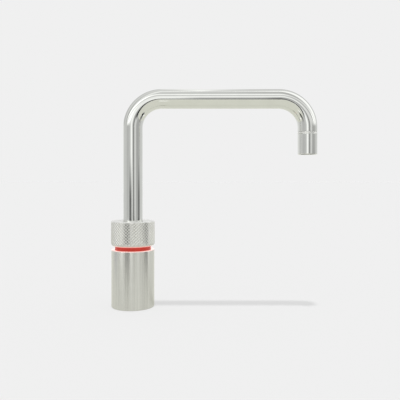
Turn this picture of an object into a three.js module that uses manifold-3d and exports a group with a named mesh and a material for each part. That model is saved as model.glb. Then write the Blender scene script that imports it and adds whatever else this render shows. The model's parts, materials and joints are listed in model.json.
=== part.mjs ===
// Boiling water tap for a kitchen worktop.
//
// A fixed body stands on the worktop and is clamped from below. A safety knob is pushed down
// against a spring and then turned, and a lit ring shows under it. The spout is an insulated
// swan neck: its polished outer tube swivels in two bearings, and a thin hot tube runs inside it.
//
// Millimetres, +Z up. The origin is the centre of the seat on the worktop. The spout points
// along +X and the cable runs down the back, along +Y.

import * as THREE from 'three';
import { mergeVertices } from 'three/addons/utils/BufferGeometryUtils.js';
import Module from 'manifold-3d';

// ---------------------------------------------------------------------------------------------
// Driving sizes
// ---------------------------------------------------------------------------------------------

// Clearances
const fitGap = 0.3; // between pieces that sit on each other or slide
const sealGap = 0.1; // round a soft ring

// Spout
const tubeDiameter = 22.7; // outside of the polished tube
const tubeWall = 1.2;
const spoutHeight = 252; // worktop to the top of the arm
const spoutReach = 203; // riser axis to outlet axis
const bendRadius = 33.5; // centreline radius of both bends
const outletStub = 5.1; // straight tube below the outlet bend
const hotTubeDiameter = 10;
const hotTubeWall = 1;
const spacerThickness = 3;
const spacerWaist = 1.4; // thickness of a spacer between its lobes
const spacerLobes = 3;
const spacersPerStraight = 2; // in the riser and in the arm

// Outlet
const jointRimHeight = 1.4; // visible rim of the coupling between tube and sleeve
const jointRimInset = 0.15;
const couplingSpigot = 7; // length pushed into the tube and into the sleeve
const couplingWall = 2;
const outletSleeveLength = 24;
const outletEdgeChamfer = 0.4;
const nozzleRecess = 1.5; // mouth of the sleeve to the nozzle
const nozzleThroatHeight = 1.5;
const straightenerDiameter = 12.6;
const straightenerHeight = 4;
const straightenerHoleDiameter = 2.6;
const straightenerHolePitch = 3.9; // middle hole to the holes round it
const straightenerHoleCount = 6; // round the middle one
const outletSealThickness = 1.6; // of the ring, both ways

// Spout foot and bearings
const footCollarHeight = 2.5;
const footPlugLength = 22.6; // pushed into the bottom of the tube
const stemSocketDepth = 14.4;
const footShoulderHeight = 2; // between the stem and the hot tube
const bearingWall = 1.2;
const bearingLength = 10;
const thrustWasherThickness = 1;
const thrustWasherBore = 14;

// Body
const bodyHeight = 66.1;
const bodyWall = 2.5;
const bodyLipHeight = 3.5; // lip that holds the light ring down
const bodyEdgeChamfer = 0.5;
const basePlateThickness = 6;
const baseSealWidth = 2.4;
const baseSealHeight = 1.7;

// Column
const columnWall = 2.4;
const columnFlangeThickness = 4;
const columnWebThickness = 3;
const wiringCavityHeight = 8;
const cableWindowWidth = 6;
const cableWindowMargin = 1.2; // window height beyond the cable
const deckThickness = 2.5;
const columnScrewCount = 3;
const columnScrewFirstAngle = 30; // degrees, keeps the back free for the cable
const columnScrewDiameter = 2;
const columnScrewHeadDiameter = 3.6;
const columnScrewHeadHeight = 1.4;
const columnScrewDepth = 3; // into the base plate

// Snap rings
const clipThickness = 1;
const clipGrooveDepth = 0.7;
const clipSetback = 1.4; // from the end of the piece that holds the clip
const clipReach = 1.9; // width of an outside clip
const clipOpening = 50; // degrees

// Light ring, board and sensors
const lightBandHeight = 4.1; // body top to knob edge
const lightRingOverlap = 2; // light ring hidden inside the knob
const lightFlangeHeight = 3.2;
const lightSkirtWall = 0.86;
const boardThickness = 1.6;
const boardMargin = 0.4; // board edge to the spring
const ledCount = 6;
const ledDepth = 1.4;
const ledWidth = 2.6;
const ledHeight = 1.3;
const sensorThickness = 1.2;
const sensorWidth = 4;
const sensorHeight = 4;
const sensorHeadroom = 0.5; // sensor top to light ring top
const sensorLegWidth = 0.5;
const sensorLegPitch = 1.27;
const sensorAngles = [ 200, 260 ]; // degrees

// Knob and its carrier
const pressTravel = 2;
const knobHeight = 28.6;
const knobOverhang = 0.45; // knob radius beyond the body
const knobTopWall = 2.5;
const knobEdgeWall = 0.6; // wall left at the bottom of the taper
const knobShoulder = 0.9; // step that the hub seats against
const knobRimHeight = 1.2; // plain rim above the knurl
const knobRimChamfer = 0.6;
const knurlPitch = 3.7; // one diamond round the knob
const knurlRise = 3.5; // one diamond up the knob
const knurlDepth = 0.8;
const wiperWidth = 1.9;
const wiperHeight = 1.1;
const hubWall = 1.95;
const magnetWall = 1.2;
const magnetHeight = 3.3;
const magnetClearance = 1; // above the light ring with the knob pressed
const carrierWall = 2.5;
const carrierFlangeThickness = 2;
const carrierTopLand = 1.2; // above the hub clip
const carrierKeyCount = 3;
const carrierKeyWidth = 2.4;
const carrierKeyDepth = 0.6;
const columnHeadroom = 1.5; // column top to the pressed knob
const springWire = 1.2;
const springClearance = 0.8; // round the column
const springTurns = 4;

// Shank, clamp and inlet
const shankWall = 2.85;
const shankLength = 62; // below the worktop's top face
const shankCollarWidth = 1.7;
const shankCollarThickness = 2;
const worktopThickness = 38;
const clampWasherDiameter = 56;
const rubberWasherThickness = 3;
const clampWasherThickness = 2.5;
const backNutAcrossFlats = 44;
const backNutHeight = 8;
const stemDiameter = 10;
const stemBore = 6;
const stemCollarAcrossFlats = 14;
const stemCollarHeight = 2.7;
const stemSealWidth = 1.6;
const stemSealGrooveDepth = 1.1;
const stemSealPitch = 5;
const stemTailLength = 6; // bare stem between plug and adapter
const adapterAcrossFlats = 19;
const adapterHexHeight = 7;
const adapterSocketDepth = 5;
const adapterThreadDiameter = 16.6;
const adapterThreadLength = 12;
const plugDepth = 6; // inside the shank
const plugFlangeThickness = 2;
const cableDiameter = 2.6;
const cableBendRadius = 4.5;
const cableWindowHeight = 3.7; // cable centre above the column flange
const glandWall = 0.8;
const glandFlangeWidth = 0.7;
const glandFlangeThickness = 1.5;
const glandNose = 1; // below the plug

// Facets
const shellFacets = 40;
const tubeFacets = 20;
const knobFacets = 24;
const innerFacets = 18;
const smallFacets = 14;
const cordFacets = 8;
const wireFacets = 4;
const hexagonSides = 6;
const spoutBendSteps = 7;
const cableBendSteps = 5;
const springStepsPerTurn = 12;
const lobeSteps = 4 * spacerLobes;
const fullTurn = 2 * Math.PI;
const quarterTurn = Math.PI / 2;
const weldDistance = 1e-4;

// ---------------------------------------------------------------------------------------------
// Radii, from the riser axis outward
// ---------------------------------------------------------------------------------------------

const tubeRadius = tubeDiameter / 2;
const tubeBore = tubeRadius - tubeWall;
const plugRadius = tubeBore - fitGap; // whatever is pushed into the tube
const hotTubeRadius = hotTubeDiameter / 2;
const stemRadius = stemDiameter / 2;
const stemHole = stemRadius + fitGap;

const bearingBore = tubeRadius + fitGap;
const bearingRadius = bearingBore + bearingWall;
const columnBore = bearingRadius + fitGap;
const columnRadius = columnBore + columnWall;
const keyGrooveRadius = columnRadius - carrierKeyDepth - fitGap;

const springCentreRadius = columnRadius + springClearance + springWire / 2;
const springOuterRadius = springCentreRadius + springWire / 2;
const sensorInnerRadius = springOuterRadius + fitGap;
const sensorOuterRadius = sensorInnerRadius + sensorThickness;
const boardBore = springOuterRadius + boardMargin;

const carrierBore = columnRadius + fitGap;
const carrierRadius = carrierBore + carrierWall;
const hubBore = carrierRadius + fitGap;
const hubRadius = hubBore + hubWall;
const knobBore = hubRadius + fitGap;
const magnetRadius = knobBore - fitGap;
const magnetBore = magnetRadius - magnetWall;
const carrierFlangeRadius = magnetBore - fitGap;
const knobShoulderRadius = knobBore - knobShoulder;

const lightRingRadius = knobBore - fitGap;
const lightRingBore = Math.hypot( sensorOuterRadius, sensorWidth / 2 ) + fitGap;
const ledRadius = ( lightRingBore + lightRingRadius ) / 2;
const lightSkirtBore = Math.hypot( ledRadius + ledDepth / 2, ledWidth / 2 ) + fitGap;
const bodyLipBore = lightRingRadius + fitGap;
const innerFitRadius = Math.max( lightSkirtBore, lightRingRadius ) + lightSkirtWall;
const bodyBore = innerFitRadius + fitGap;
const bodyRadius = bodyBore + bodyWall;
const knobRadius = bodyRadius + knobOverhang;
const knobEdgeRadius = knobBore + knobEdgeWall;

const shankBore = columnBore;
const shankRadius = shankBore + shankWall;
const shankHole = shankRadius + fitGap;
const shankCollarRadius = shankRadius + shankCollarWidth;
const shankCounterbore = shankCollarRadius + fitGap;
const columnScrewCircle = ( shankCounterbore + innerFitRadius ) / 2;

const plugBarrelRadius = shankBore - fitGap;
const cableRadius = cableDiameter / 2;
const cableOuterRun = springOuterRadius + 2 * fitGap + cableRadius;
const cableInnerRun = ( stemHole + plugBarrelRadius ) / 2;

// ---------------------------------------------------------------------------------------------
// Levels, from the worktop up and from the knob top down
// ---------------------------------------------------------------------------------------------

const columnBottom = basePlateThickness + fitGap;
const columnFlangeTop = columnBottom + columnFlangeThickness;
const shankCollarTop = columnBottom + shankCollarThickness;
const webBottom = columnFlangeTop + wiringCavityHeight;
const webTop = webBottom + columnWebThickness;
const thrustWasherBottom = webTop + fitGap;
const footBottom = thrustWasherBottom + thrustWasherThickness + fitGap;
const footCollarTop = footBottom + footCollarHeight;
const tubeBottom = footCollarTop + fitGap;
const stemTop = footBottom + stemSocketDepth - fitGap;
const hotTubeBottom = footBottom + stemSocketDepth + footShoulderHeight + fitGap;

const knobBottom = bodyHeight + lightBandHeight;
const knobTop = knobBottom + knobHeight;
const knobRoof = knobTop - knobTopWall;
const columnTop = knobRoof - pressTravel - columnHeadroom;
const clipTop = columnTop - clipSetback;
const clipBottom = clipTop - clipThickness;
const bearingTop = clipBottom - fitGap;
const carrierTop = clipBottom - fitGap;
const hubClipTop = carrierTop - carrierTopLand;
const hubClipBottom = hubClipTop - clipThickness;
const hubTop = hubClipBottom - fitGap;

const lightRingTop = knobBottom + lightRingOverlap;
const magnetBottom = lightRingTop + pressTravel + magnetClearance;
const hubBottom = magnetBottom + magnetHeight + fitGap;
const carrierFlangeTop = hubBottom - fitGap;
const carrierBottom = carrierFlangeTop - carrierFlangeThickness;

const lightFlangeTop = bodyHeight - bodyLipHeight - fitGap;
const lightFlangeBottom = lightFlangeTop - lightFlangeHeight;
const ledBottom = lightFlangeBottom - fitGap - ledHeight;
const boardTop = ledBottom - fitGap;
const boardBottom = boardTop - boardThickness;
const deckTop = boardBottom - fitGap;
const deckBottom = deckTop - deckThickness;

const armLevel = spoutHeight - tubeRadius;
const tubeEnd = armLevel - bendRadius - outletStub;
const jointRimTop = tubeEnd - fitGap;
const jointRimBottom = jointRimTop - jointRimHeight;
const outletSleeveTop = jointRimBottom - fitGap;
const outletMouth = outletSleeveTop - outletSleeveLength;
const nozzleBottom = outletMouth + nozzleRecess;
const nozzleTop = jointRimBottom - couplingSpigot - fitGap;
const straightenerTop = nozzleBottom + straightenerHeight;
const nozzleThroatBottom = straightenerTop + fitGap;
const nozzleThroatTop = nozzleThroatBottom + nozzleThroatHeight;
const hotTubeEnd = nozzleThroatTop + fitGap;

const rubberWasherTop = -worktopThickness;
const clampWasherTop = rubberWasherTop - rubberWasherThickness - fitGap;
const backNutTop = clampWasherTop - clampWasherThickness - fitGap;
const shankBottom = -shankLength;
const plugFlangeTop = shankBottom - fitGap;
const plugFlangeBottom = plugFlangeTop - plugFlangeThickness;
const plugTop = shankBottom + plugDepth;
const adapterTop = plugFlangeBottom - stemTailLength;
const adapterHexBottom = adapterTop - adapterHexHeight;
const adapterBottom = adapterHexBottom - adapterThreadLength;
const stemBottom = adapterTop - adapterSocketDepth;
const cableWindowLevel = columnFlangeTop + cableWindowHeight;
const glandBottom = plugFlangeBottom - glandNose;

// ---------------------------------------------------------------------------------------------
// Finishes
// ---------------------------------------------------------------------------------------------

const satinSteel = { color: 0xc4c4bc, roughness: 0.35, metalness: 1 };
const polishedSteel = { color: 0xd6d8d4, roughness: 0.08, metalness: 1 };
const springSteel = { color: 0x9a9a98, roughness: 0.3, metalness: 1 };
const brass = { color: 0xb89a5a, roughness: 0.35, metalness: 1 };
const redLight = { color: 0xbf4739, roughness: 0.4, metalness: 0 };
const blackPlastic = { color: 0x202022, roughness: 0.5, metalness: 0 };
const whitePlastic = { color: 0xe8e6e0, roughness: 0.5, metalness: 0 };
const blackRubber = { color: 0x161616, roughness: 0.8, metalness: 0 };
const boardGreen = { color: 0x1f5a3a, roughness: 0.5, metalness: 0 };
const ledLens = { color: 0xf0ead8, roughness: 0.3, metalness: 0 };
const darkMagnet = { color: 0x3a3c40, roughness: 0.6, metalness: 0.3 };

// ---------------------------------------------------------------------------------------------
// Solids
// ---------------------------------------------------------------------------------------------

const wasm = await Module();
wasm.setup();

/** Shares the corners of a closed surface, drops its collapsed faces and turns it outward. */
function closeSurface( geometry ) {

	geometry.deleteAttribute( 'normal' );
	geometry.deleteAttribute( 'uv' );
	const shared = mergeVertices( geometry, weldDistance );
	const corners = shared.index.array;
	const kept = [];
	for ( let i = 0; i < corners.length; i += 3 ) {

		const [ a, b, c ] = corners.subarray( i, i + 3 );
		if ( a !== b && b !== c && c !== a ) kept.push( a, b, c );

	}

	if ( signedVolume( shared.attributes.position, kept ) < 0 ) kept.reverse();
	shared.setIndex( kept );
	return shared;

}

/** Volume inside a closed surface, negative where its faces point in. */
function signedVolume( positions, corners ) {

	const a = new THREE.Vector3();
	const b = new THREE.Vector3();
	const c = new THREE.Vector3();
	let sixfold = 0;
	for ( let i = 0; i < corners.length; i += 3 ) {

		a.fromBufferAttribute( positions, corners[ i ] );
		b.fromBufferAttribute( positions, corners[ i + 1 ] );
		c.fromBufferAttribute( positions, corners[ i + 2 ] );
		sixfold += a.dot( b.cross( c ) );

	}

	return sixfold / 6;

}

function toManifold( geometry ) {

	const vertProperties = new Float32Array( geometry.attributes.position.array );
	const triVerts = new Uint32Array( geometry.index.array );
	return new wasm.Manifold( new wasm.Mesh( { numProp: 3, vertProperties, triVerts } ) );

}

function fromManifold( solid ) {

	const mesh = solid.getMesh();
	const geometry = new THREE.BufferGeometry();
	geometry.setAttribute( 'position', new THREE.BufferAttribute( mesh.vertProperties, 3 ) );
	geometry.setIndex( Array.from( mesh.triVerts ) );
	return closeSurface( geometry );

}

function join( first, ...others ) {

	const addTo = ( sum, other ) => sum.add( toManifold( other ) );
	return fromManifold( others.reduce( addTo, toManifold( first ) ) );

}

function cut( first, ...tools ) {

	const takeFrom = ( rest, tool ) => rest.subtract( toManifold( tool ) );
	return fromManifold( tools.reduce( takeFrom, toManifold( first ) ) );

}

/** Turns a closed outline of [ radius, height ] corners about the Z axis. */
function turned( outline, facets ) {

	const points = outline.map( ( [ radius, height ] ) => new THREE.Vector2( radius, height ) );
	points.push( points[ 0 ].clone() );
	const geometry = new THREE.LatheGeometry( points, facets );
	geometry.rotateX( quarterTurn );
	return closeSurface( geometry );

}

function ring( bore, radius, bottom, top, facets ) {

	return turned( [ [ bore, bottom ], [ radius, bottom ], [ radius, top ], [ bore, top ] ], facets );

}

function rod( radius, bottom, top, facets ) {

	return ring( 0, radius, bottom, top, facets );

}

/** Six-sided prism by its width across flats, with a flat toward +Y. */
function hexagon( acrossFlats, bottom, top ) {

	const halfSide = Math.PI / hexagonSides;
	const cornerRadius = acrossFlats / 2 / Math.cos( halfSide );
	const geometry = new THREE.CylinderGeometry( cornerRadius, cornerRadius, top - bottom, hexagonSides );
	geometry.rotateX( quarterTurn );
	geometry.rotateZ( halfSide );
	geometry.translate( 0, 0, ( bottom + top ) / 2 );
	return closeSurface( geometry );

}

/** Box from one corner to the opposite one. */
function block( low, high ) {

	const size = high.map( ( value, axis ) => value - low[ axis ] );
	const centre = high.map( ( value, axis ) => ( value + low[ axis ] ) / 2 );
	const geometry = new THREE.BoxGeometry( ...size );
	geometry.translate( ...centre );
	return closeSurface( geometry );

}

/** Snap ring: a flat ring with an opening toward +X. */
function snapRing( bore, radius, thickness ) {

	const halfOpening = THREE.MathUtils.degToRad( clipOpening / 2 );
	const outline = new THREE.Shape();
	outline.absarc( 0, 0, radius, halfOpening, fullTurn - halfOpening, false );
	outline.absarc( 0, 0, bore, fullTurn - halfOpening, halfOpening, true );
	const options = { depth: thickness, bevelEnabled: false, curveSegments: innerFacets / 2 };
	return closeSurface( new THREE.ExtrudeGeometry( outline, options ) );

}

/** Round section, hollow where a bore is given, swept along a route. */
function sweptTube( route, radius, bore, facets ) {

	const section = new THREE.Shape();
	section.absarc( 0, 0, radius, 0, fullTurn );
	if ( bore > 0 ) {

		const hole = new THREE.Path();
		hole.absarc( 0, 0, bore, 0, fullTurn );
		section.holes.push( hole );

	}

	const options = { extrudePath: route, steps: route.steps, curveSegments: facets / 2 };
	return closeSurface( new THREE.ExtrudeGeometry( section, options ) );

}

/** A flat route of straights and round bends: one step a straight, equal steps round a bend. */
class BentRoute extends THREE.Curve {

	constructor( start, direction, bendAxis, bendSteps, legs ) {

		super();
		this.bendAxis = bendAxis;
		this.legs = [];
		this.steps = 0;
		let from = start;
		let heading = direction;
		for ( const { length = 0, radius = 0, turn = 0 } of legs ) {

			const leg = { from, heading, length, radius, turn, firstStep: this.steps };
			leg.steps = radius > 0 ? bendSteps : 1;
			this.legs.push( leg );
			this.steps += leg.steps;
			from = this.pointOnLeg( leg, 1 );
			heading = this.headingOnLeg( leg, 1 );

		}

	}

	pointOnLeg( leg, share ) {

		const straight = leg.from.clone().addScaledVector( leg.heading, leg.length * share );
		if ( leg.radius === 0 ) return straight;
		const inward = this.bendAxis.clone().cross( leg.heading ).multiplyScalar( Math.sign( leg.turn ) );
		const centre = leg.from.clone().addScaledVector( inward, leg.radius );
		const spoke = inward.multiplyScalar( -leg.radius ).applyAxisAngle( this.bendAxis, leg.turn * share );
		return centre.add( spoke );

	}

	headingOnLeg( leg, share ) {

		return leg.heading.clone().applyAxisAngle( this.bendAxis, leg.turn * share );

	}

	legAt( t ) {

		const step = t * this.steps;
		const leg = this.legs.find( ( { firstStep, steps } ) => step <= firstStep + steps ) ?? this.legs.at( -1 );
		return { leg, share: ( step - leg.firstStep ) / leg.steps };

	}

	getUtoTmapping( u ) {

		return u;

	}

	getPoint( t, target = new THREE.Vector3() ) {

		const { leg, share } = this.legAt( t );
		return target.copy( this.pointOnLeg( leg, share ) );

	}

	getTangent( t, target = new THREE.Vector3() ) {

		const { leg, share } = this.legAt( t );
		return target.copy( this.headingOnLeg( leg, share ) );

	}

}

/** Helix of a compression spring, by its centre radius, its turns and its two end levels. */
class SpringRoute extends THREE.Curve {

	constructor( radius, turns, bottom, top ) {

		super();
		Object.assign( this, { radius, turns, bottom, top, steps: turns * springStepsPerTurn } );

	}

	getUtoTmapping( u ) {

		return u;

	}

	getPoint( t, target = new THREE.Vector3() ) {

		const angle = t * this.turns * fullTurn;
		const height = THREE.MathUtils.lerp( this.bottom, this.top, t );
		return target.set( this.radius * Math.cos( angle ), this.radius * Math.sin( angle ), height );

	}

}

// ---------------------------------------------------------------------------------------------
// Assembly
// ---------------------------------------------------------------------------------------------

function addPiece( group, name, finish, geometry ) {

	const material = new THREE.MeshStandardMaterial( { ...finish, flatShading: true } );
	const mesh = new THREE.Mesh( geometry, material );
	mesh.name = name;
	group.add( mesh );
	return mesh;

}

/** Stands a mesh off the Z axis, turned to face outward. */
function placeRound( mesh, radius, degrees, level ) {

	const angle = THREE.MathUtils.degToRad( degrees );
	mesh.position.set( radius * Math.cos( angle ), radius * Math.sin( angle ), level );
	mesh.rotation.z = angle;

}

function addBody( group ) {

	const shellOutline = [
		[ bodyBore, 0 ],
		[ bodyRadius - bodyEdgeChamfer, 0 ],
		[ bodyRadius, bodyEdgeChamfer ],
		[ bodyRadius, bodyHeight - bodyEdgeChamfer ],
		[ bodyRadius - bodyEdgeChamfer, bodyHeight ],
		[ bodyLipBore, bodyHeight ],
		[ bodyLipBore, bodyHeight - bodyLipHeight ],
		[ bodyBore, bodyHeight - bodyLipHeight ],
	];
	addPiece( group, 'body_shell', satinSteel, turned( shellOutline, shellFacets ) );

	const sealCentre = ( shankHole + innerFitRadius ) / 2;
	const sealInner = sealCentre - baseSealWidth / 2;
	const sealOuter = sealCentre + baseSealWidth / 2;
	const grooveHeight = baseSealHeight + sealGap;
	const plateOutline = [
		[ shankHole, 0 ],
		[ sealInner - sealGap, 0 ],
		[ sealInner - sealGap, grooveHeight ],
		[ sealOuter + sealGap, grooveHeight ],
		[ sealOuter + sealGap, 0 ],
		[ innerFitRadius, 0 ],
		[ innerFitRadius, basePlateThickness ],
		[ shankHole, basePlateThickness ],
	];
	const holeBottom = basePlateThickness - columnScrewDepth - fitGap;
	const screwHoles = columnScrewHoles( holeBottom, basePlateThickness + fitGap );
	addPiece( group, 'base_plate', satinSteel, cut( turned( plateOutline, innerFacets ), ...screwHoles ) );
	addPiece( group, 'base_seal', blackRubber, ring( sealInner, sealOuter, 0, baseSealHeight, innerFacets ) );

}

function columnScrewAngles() {

	const pitch = 360 / columnScrewCount;
	return Array.from( { length: columnScrewCount }, ( _, index ) => columnScrewFirstAngle + index * pitch );

}

function columnScrewHoles( bottom, top ) {

	return columnScrewAngles().map( ( degrees ) => {

		const hole = rod( columnScrewDiameter / 2 + fitGap, bottom, top, cordFacets );
		hole.translate( columnScrewCircle, 0, 0 );
		hole.rotateZ( THREE.MathUtils.degToRad( degrees ) );
		return hole;

	} );

}

function addColumn( group ) {

	const grooveBottom = clipBottom - fitGap;
	const grooveTop = clipTop + fitGap;
	const outline = [
		[ stemHole, webBottom ],
		[ columnBore, webBottom ],
		[ columnBore, shankCollarTop + fitGap ],
		[ shankCounterbore, shankCollarTop + fitGap ],
		[ shankCounterbore, columnBottom ],
		[ innerFitRadius, columnBottom ],
		[ innerFitRadius, columnFlangeTop ],
		[ columnRadius, columnFlangeTop ],
		[ columnRadius, deckBottom ],
		[ innerFitRadius, deckBottom ],
		[ innerFitRadius, deckTop ],
		[ columnRadius, deckTop ],
		[ columnRadius, grooveBottom ],
		[ columnRadius - clipGrooveDepth, grooveBottom ],
		[ columnRadius - clipGrooveDepth, grooveTop ],
		[ columnRadius, grooveTop ],
		[ columnRadius, columnTop ],
		[ columnBore, columnTop ],
		[ columnBore, grooveTop ],
		[ columnBore + clipGrooveDepth, grooveTop ],
		[ columnBore + clipGrooveDepth, grooveBottom ],
		[ columnBore, grooveBottom ],
		[ columnBore, webTop ],
		[ stemHole, webTop ],
	];
	const cableWindow = block(
		[ -cableWindowWidth / 2, columnBore / 2, cableWindowLevel - cableRadius - cableWindowMargin ],
		[ cableWindowWidth / 2, columnRadius + fitGap, cableWindowLevel + cableRadius + cableWindowMargin ],
	);
	const notchHalfWidth = cableRadius + fitGap;
	const deckNotch = block(
		[ -notchHalfWidth, cableOuterRun - notchHalfWidth, deckBottom - fitGap ],
		[ notchHalfWidth, bodyBore, deckTop + fitGap ],
	);
	const keyGrooves = roundAxis( carrierKeyCount, () => block(
		[ keyGrooveRadius, -carrierKeyWidth / 2 - fitGap, carrierBottom - pressTravel - fitGap ],
		[ columnRadius + fitGap, carrierKeyWidth / 2 + fitGap, columnTop + fitGap ],
	) );
	const screwHoles = columnScrewHoles( columnBottom - fitGap, columnFlangeTop + fitGap );
	const blank = turned( outline, innerFacets );
	const column = cut( blank, cableWindow, deckNotch, ...keyGrooves, ...screwHoles );
	addPiece( group, 'core_column', brass, column );

	columnScrewAngles().forEach( ( degrees, index ) => {

		const shaft = columnFlangeThickness + fitGap + columnScrewDepth;
		const screwOutline = [
			[ 0, -shaft ],
			[ columnScrewDiameter / 2, -shaft ],
			[ columnScrewDiameter / 2, 0 ],
			[ columnScrewHeadDiameter / 2, 0 ],
			[ columnScrewHeadDiameter / 2, columnScrewHeadHeight ],
			[ 0, columnScrewHeadHeight ],
		];
		const name = `column_screw_${ index + 1 }`;
		const screw = addPiece( group, name, satinSteel, turned( screwOutline, cordFacets ) );
		placeRound( screw, columnScrewCircle, degrees, columnFlangeTop + fitGap );

	} );

	const stopClip = snapRing(
		columnRadius - clipGrooveDepth + fitGap,
		columnRadius - clipGrooveDepth + fitGap + clipReach,
		clipThickness,
	);
	addPiece( group, 'carrier_stop_clip', springSteel, stopClip ).position.z = clipBottom;

}

/** Copies of a solid at equal angles about the Z axis. */
function roundAxis( count, make ) {

	return Array.from( { length: count }, ( _, index ) => {

		const solid = make();
		solid.rotateZ( index * fullTurn / count );
		return solid;

	} );

}

function addBearings( group ) {

	const washer = ring( thrustWasherBore / 2, bearingRadius, 0, thrustWasherThickness, innerFacets );
	addPiece( group, 'thrust_washer', whitePlastic, washer ).position.z = thrustWasherBottom;

	const bearing = () => ring( bearingBore, bearingRadius, 0, bearingLength, innerFacets );
	const upperBottom = bearingTop - bearingLength;
	const lowerTop = tubeBottom + bearingLength;
	addPiece( group, 'lower_bearing', blackPlastic, bearing() ).position.z = tubeBottom;
	addPiece( group, 'upper_bearing', blackPlastic, bearing() ).position.z = upperBottom;

	const spacerLength = upperBottom - lowerTop - 2 * fitGap;
	const spacer = ring( bearingBore, bearingRadius, 0, spacerLength, innerFacets );
	addPiece( group, 'bearing_spacer', satinSteel, spacer ).position.z = lowerTop + fitGap;

	const clipRadius = columnBore + clipGrooveDepth - fitGap;
	const clip = snapRing( bearingBore + fitGap, clipRadius, clipThickness );
	addPiece( group, 'bearing_clip', springSteel, clip ).position.z = clipBottom;

}

function addLight( group ) {

	const ringOutline = [
		[ lightRingBore, lightFlangeBottom ],
		[ lightSkirtBore, lightFlangeBottom ],
		[ lightSkirtBore, boardTop + fitGap ],
		[ innerFitRadius, boardTop + fitGap ],
		[ innerFitRadius, lightFlangeTop ],
		[ lightRingRadius, lightFlangeTop ],
		[ lightRingRadius, lightRingTop ],
		[ lightRingBore, lightRingTop ],
	];
	addPiece( group, 'light_ring', redLight, turned( ringOutline, knobFacets ) );

	const board = ring( boardBore, innerFitRadius, 0, boardThickness, innerFacets );
	addPiece( group, 'control_board', boardGreen, board ).position.z = boardBottom;

	for ( let index = 0; index < ledCount; index ++ ) {

		const led = block( [ -ledDepth / 2, -ledWidth / 2, 0 ], [ ledDepth / 2, ledWidth / 2, ledHeight ] );
		const mesh = addPiece( group, `led_${ index + 1 }`, ledLens, led );
		placeRound( mesh, ledRadius, index * 360 / ledCount, ledBottom );

	}

	sensorAngles.forEach( ( degrees, index ) => {

		const mesh = addPiece( group, `hall_sensor_${ index + 1 }`, blackPlastic, sensorSolid() );
		placeRound( mesh, ( sensorInnerRadius + sensorOuterRadius ) / 2, degrees, boardTop + fitGap );

	} );

}

/** Hall sensor standing on three long legs, inside the light ring. */
function sensorSolid() {

	const top = lightRingTop - sensorHeadroom - boardTop - fitGap;
	const bottom = top - sensorHeight;
	const head = block(
		[ -sensorThickness / 2, -sensorWidth / 2, bottom ],
		[ sensorThickness / 2, sensorWidth / 2, top ],
	);
	const legs = [ -sensorLegPitch, 0, sensorLegPitch ].map( ( side ) => block(
		[ -sensorLegWidth / 2, side - sensorLegWidth / 2, 0 ],
		[ sensorLegWidth / 2, side + sensorLegWidth / 2, bottom + sensorLegWidth ],
	) );
	return join( head, ...legs );

}

function addInlet( group ) {

	const collarTop = webBottom - fitGap;
	const grooveRadius = stemRadius - stemSealGrooveDepth;
	const sealCentres = [ 1, 2 ].map( ( place ) => footBottom + place * stemSealPitch );
	const grooves = sealCentres.map( ( level ) => {

		const halfWidth = stemSealWidth / 2 + sealGap;
		return ring( grooveRadius, stemRadius + fitGap, level - halfWidth, level + halfWidth, smallFacets );

	} );
	const blank = join(
		rod( stemRadius, stemBottom, stemTop, smallFacets ),
		hexagon( stemCollarAcrossFlats, collarTop - stemCollarHeight, collarTop ),
	);
	const bore = rod( stemBore / 2, stemBottom - fitGap, stemTop + fitGap, smallFacets );
	addPiece( group, 'inlet_stem', brass, cut( blank, bore, ...grooves ) );

	const sealInner = grooveRadius + sealGap;
	const sealOuter = stemHole - sealGap;
	sealCentres.forEach( ( level, index ) => {

		const seal = ring( sealInner, sealOuter, -stemSealWidth / 2, stemSealWidth / 2, smallFacets );
		addPiece( group, `stem_seal_${ index + 1 }`, blackRubber, seal ).position.z = level;

	} );

	const adapterBlank = join(
		hexagon( adapterAcrossFlats, adapterHexBottom, adapterTop ),
		rod( adapterThreadDiameter / 2, adapterBottom, adapterHexBottom + fitGap, smallFacets ),
	);
	const adapterBore = rod( stemBore / 2, adapterBottom - fitGap, adapterTop, smallFacets );
	const adapterSocket = rod( stemHole, stemBottom - fitGap, adapterTop + fitGap, smallFacets );
	addPiece( group, 'inlet_adapter', brass, cut( adapterBlank, adapterBore, adapterSocket ) );

}

function addClamp( group ) {

	const shankOutline = [
		[ shankBore, shankBottom ],
		[ shankRadius, shankBottom ],
		[ shankRadius, columnBottom ],
		[ shankCollarRadius, columnBottom ],
		[ shankCollarRadius, shankCollarTop ],
		[ shankBore, shankCollarTop ],
	];
	addPiece( group, 'threaded_shank', brass, turned( shankOutline, innerFacets ) );

	const washerRadius = clampWasherDiameter / 2;
	const rubber = ring( shankHole, washerRadius, -rubberWasherThickness, 0, innerFacets );
	const washer = ring( shankHole, washerRadius, -clampWasherThickness, 0, innerFacets );
	const nut = cut(
		hexagon( backNutAcrossFlats, -backNutHeight, 0 ),
		rod( shankHole, -backNutHeight - fitGap, fitGap, innerFacets ),
	);
	addPiece( group, 'rubber_washer', blackRubber, rubber ).position.z = rubberWasherTop;
	addPiece( group, 'clamp_washer', satinSteel, washer ).position.z = clampWasherTop;
	addPiece( group, 'back_nut', brass, nut ).position.z = backNutTop;

}

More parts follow.
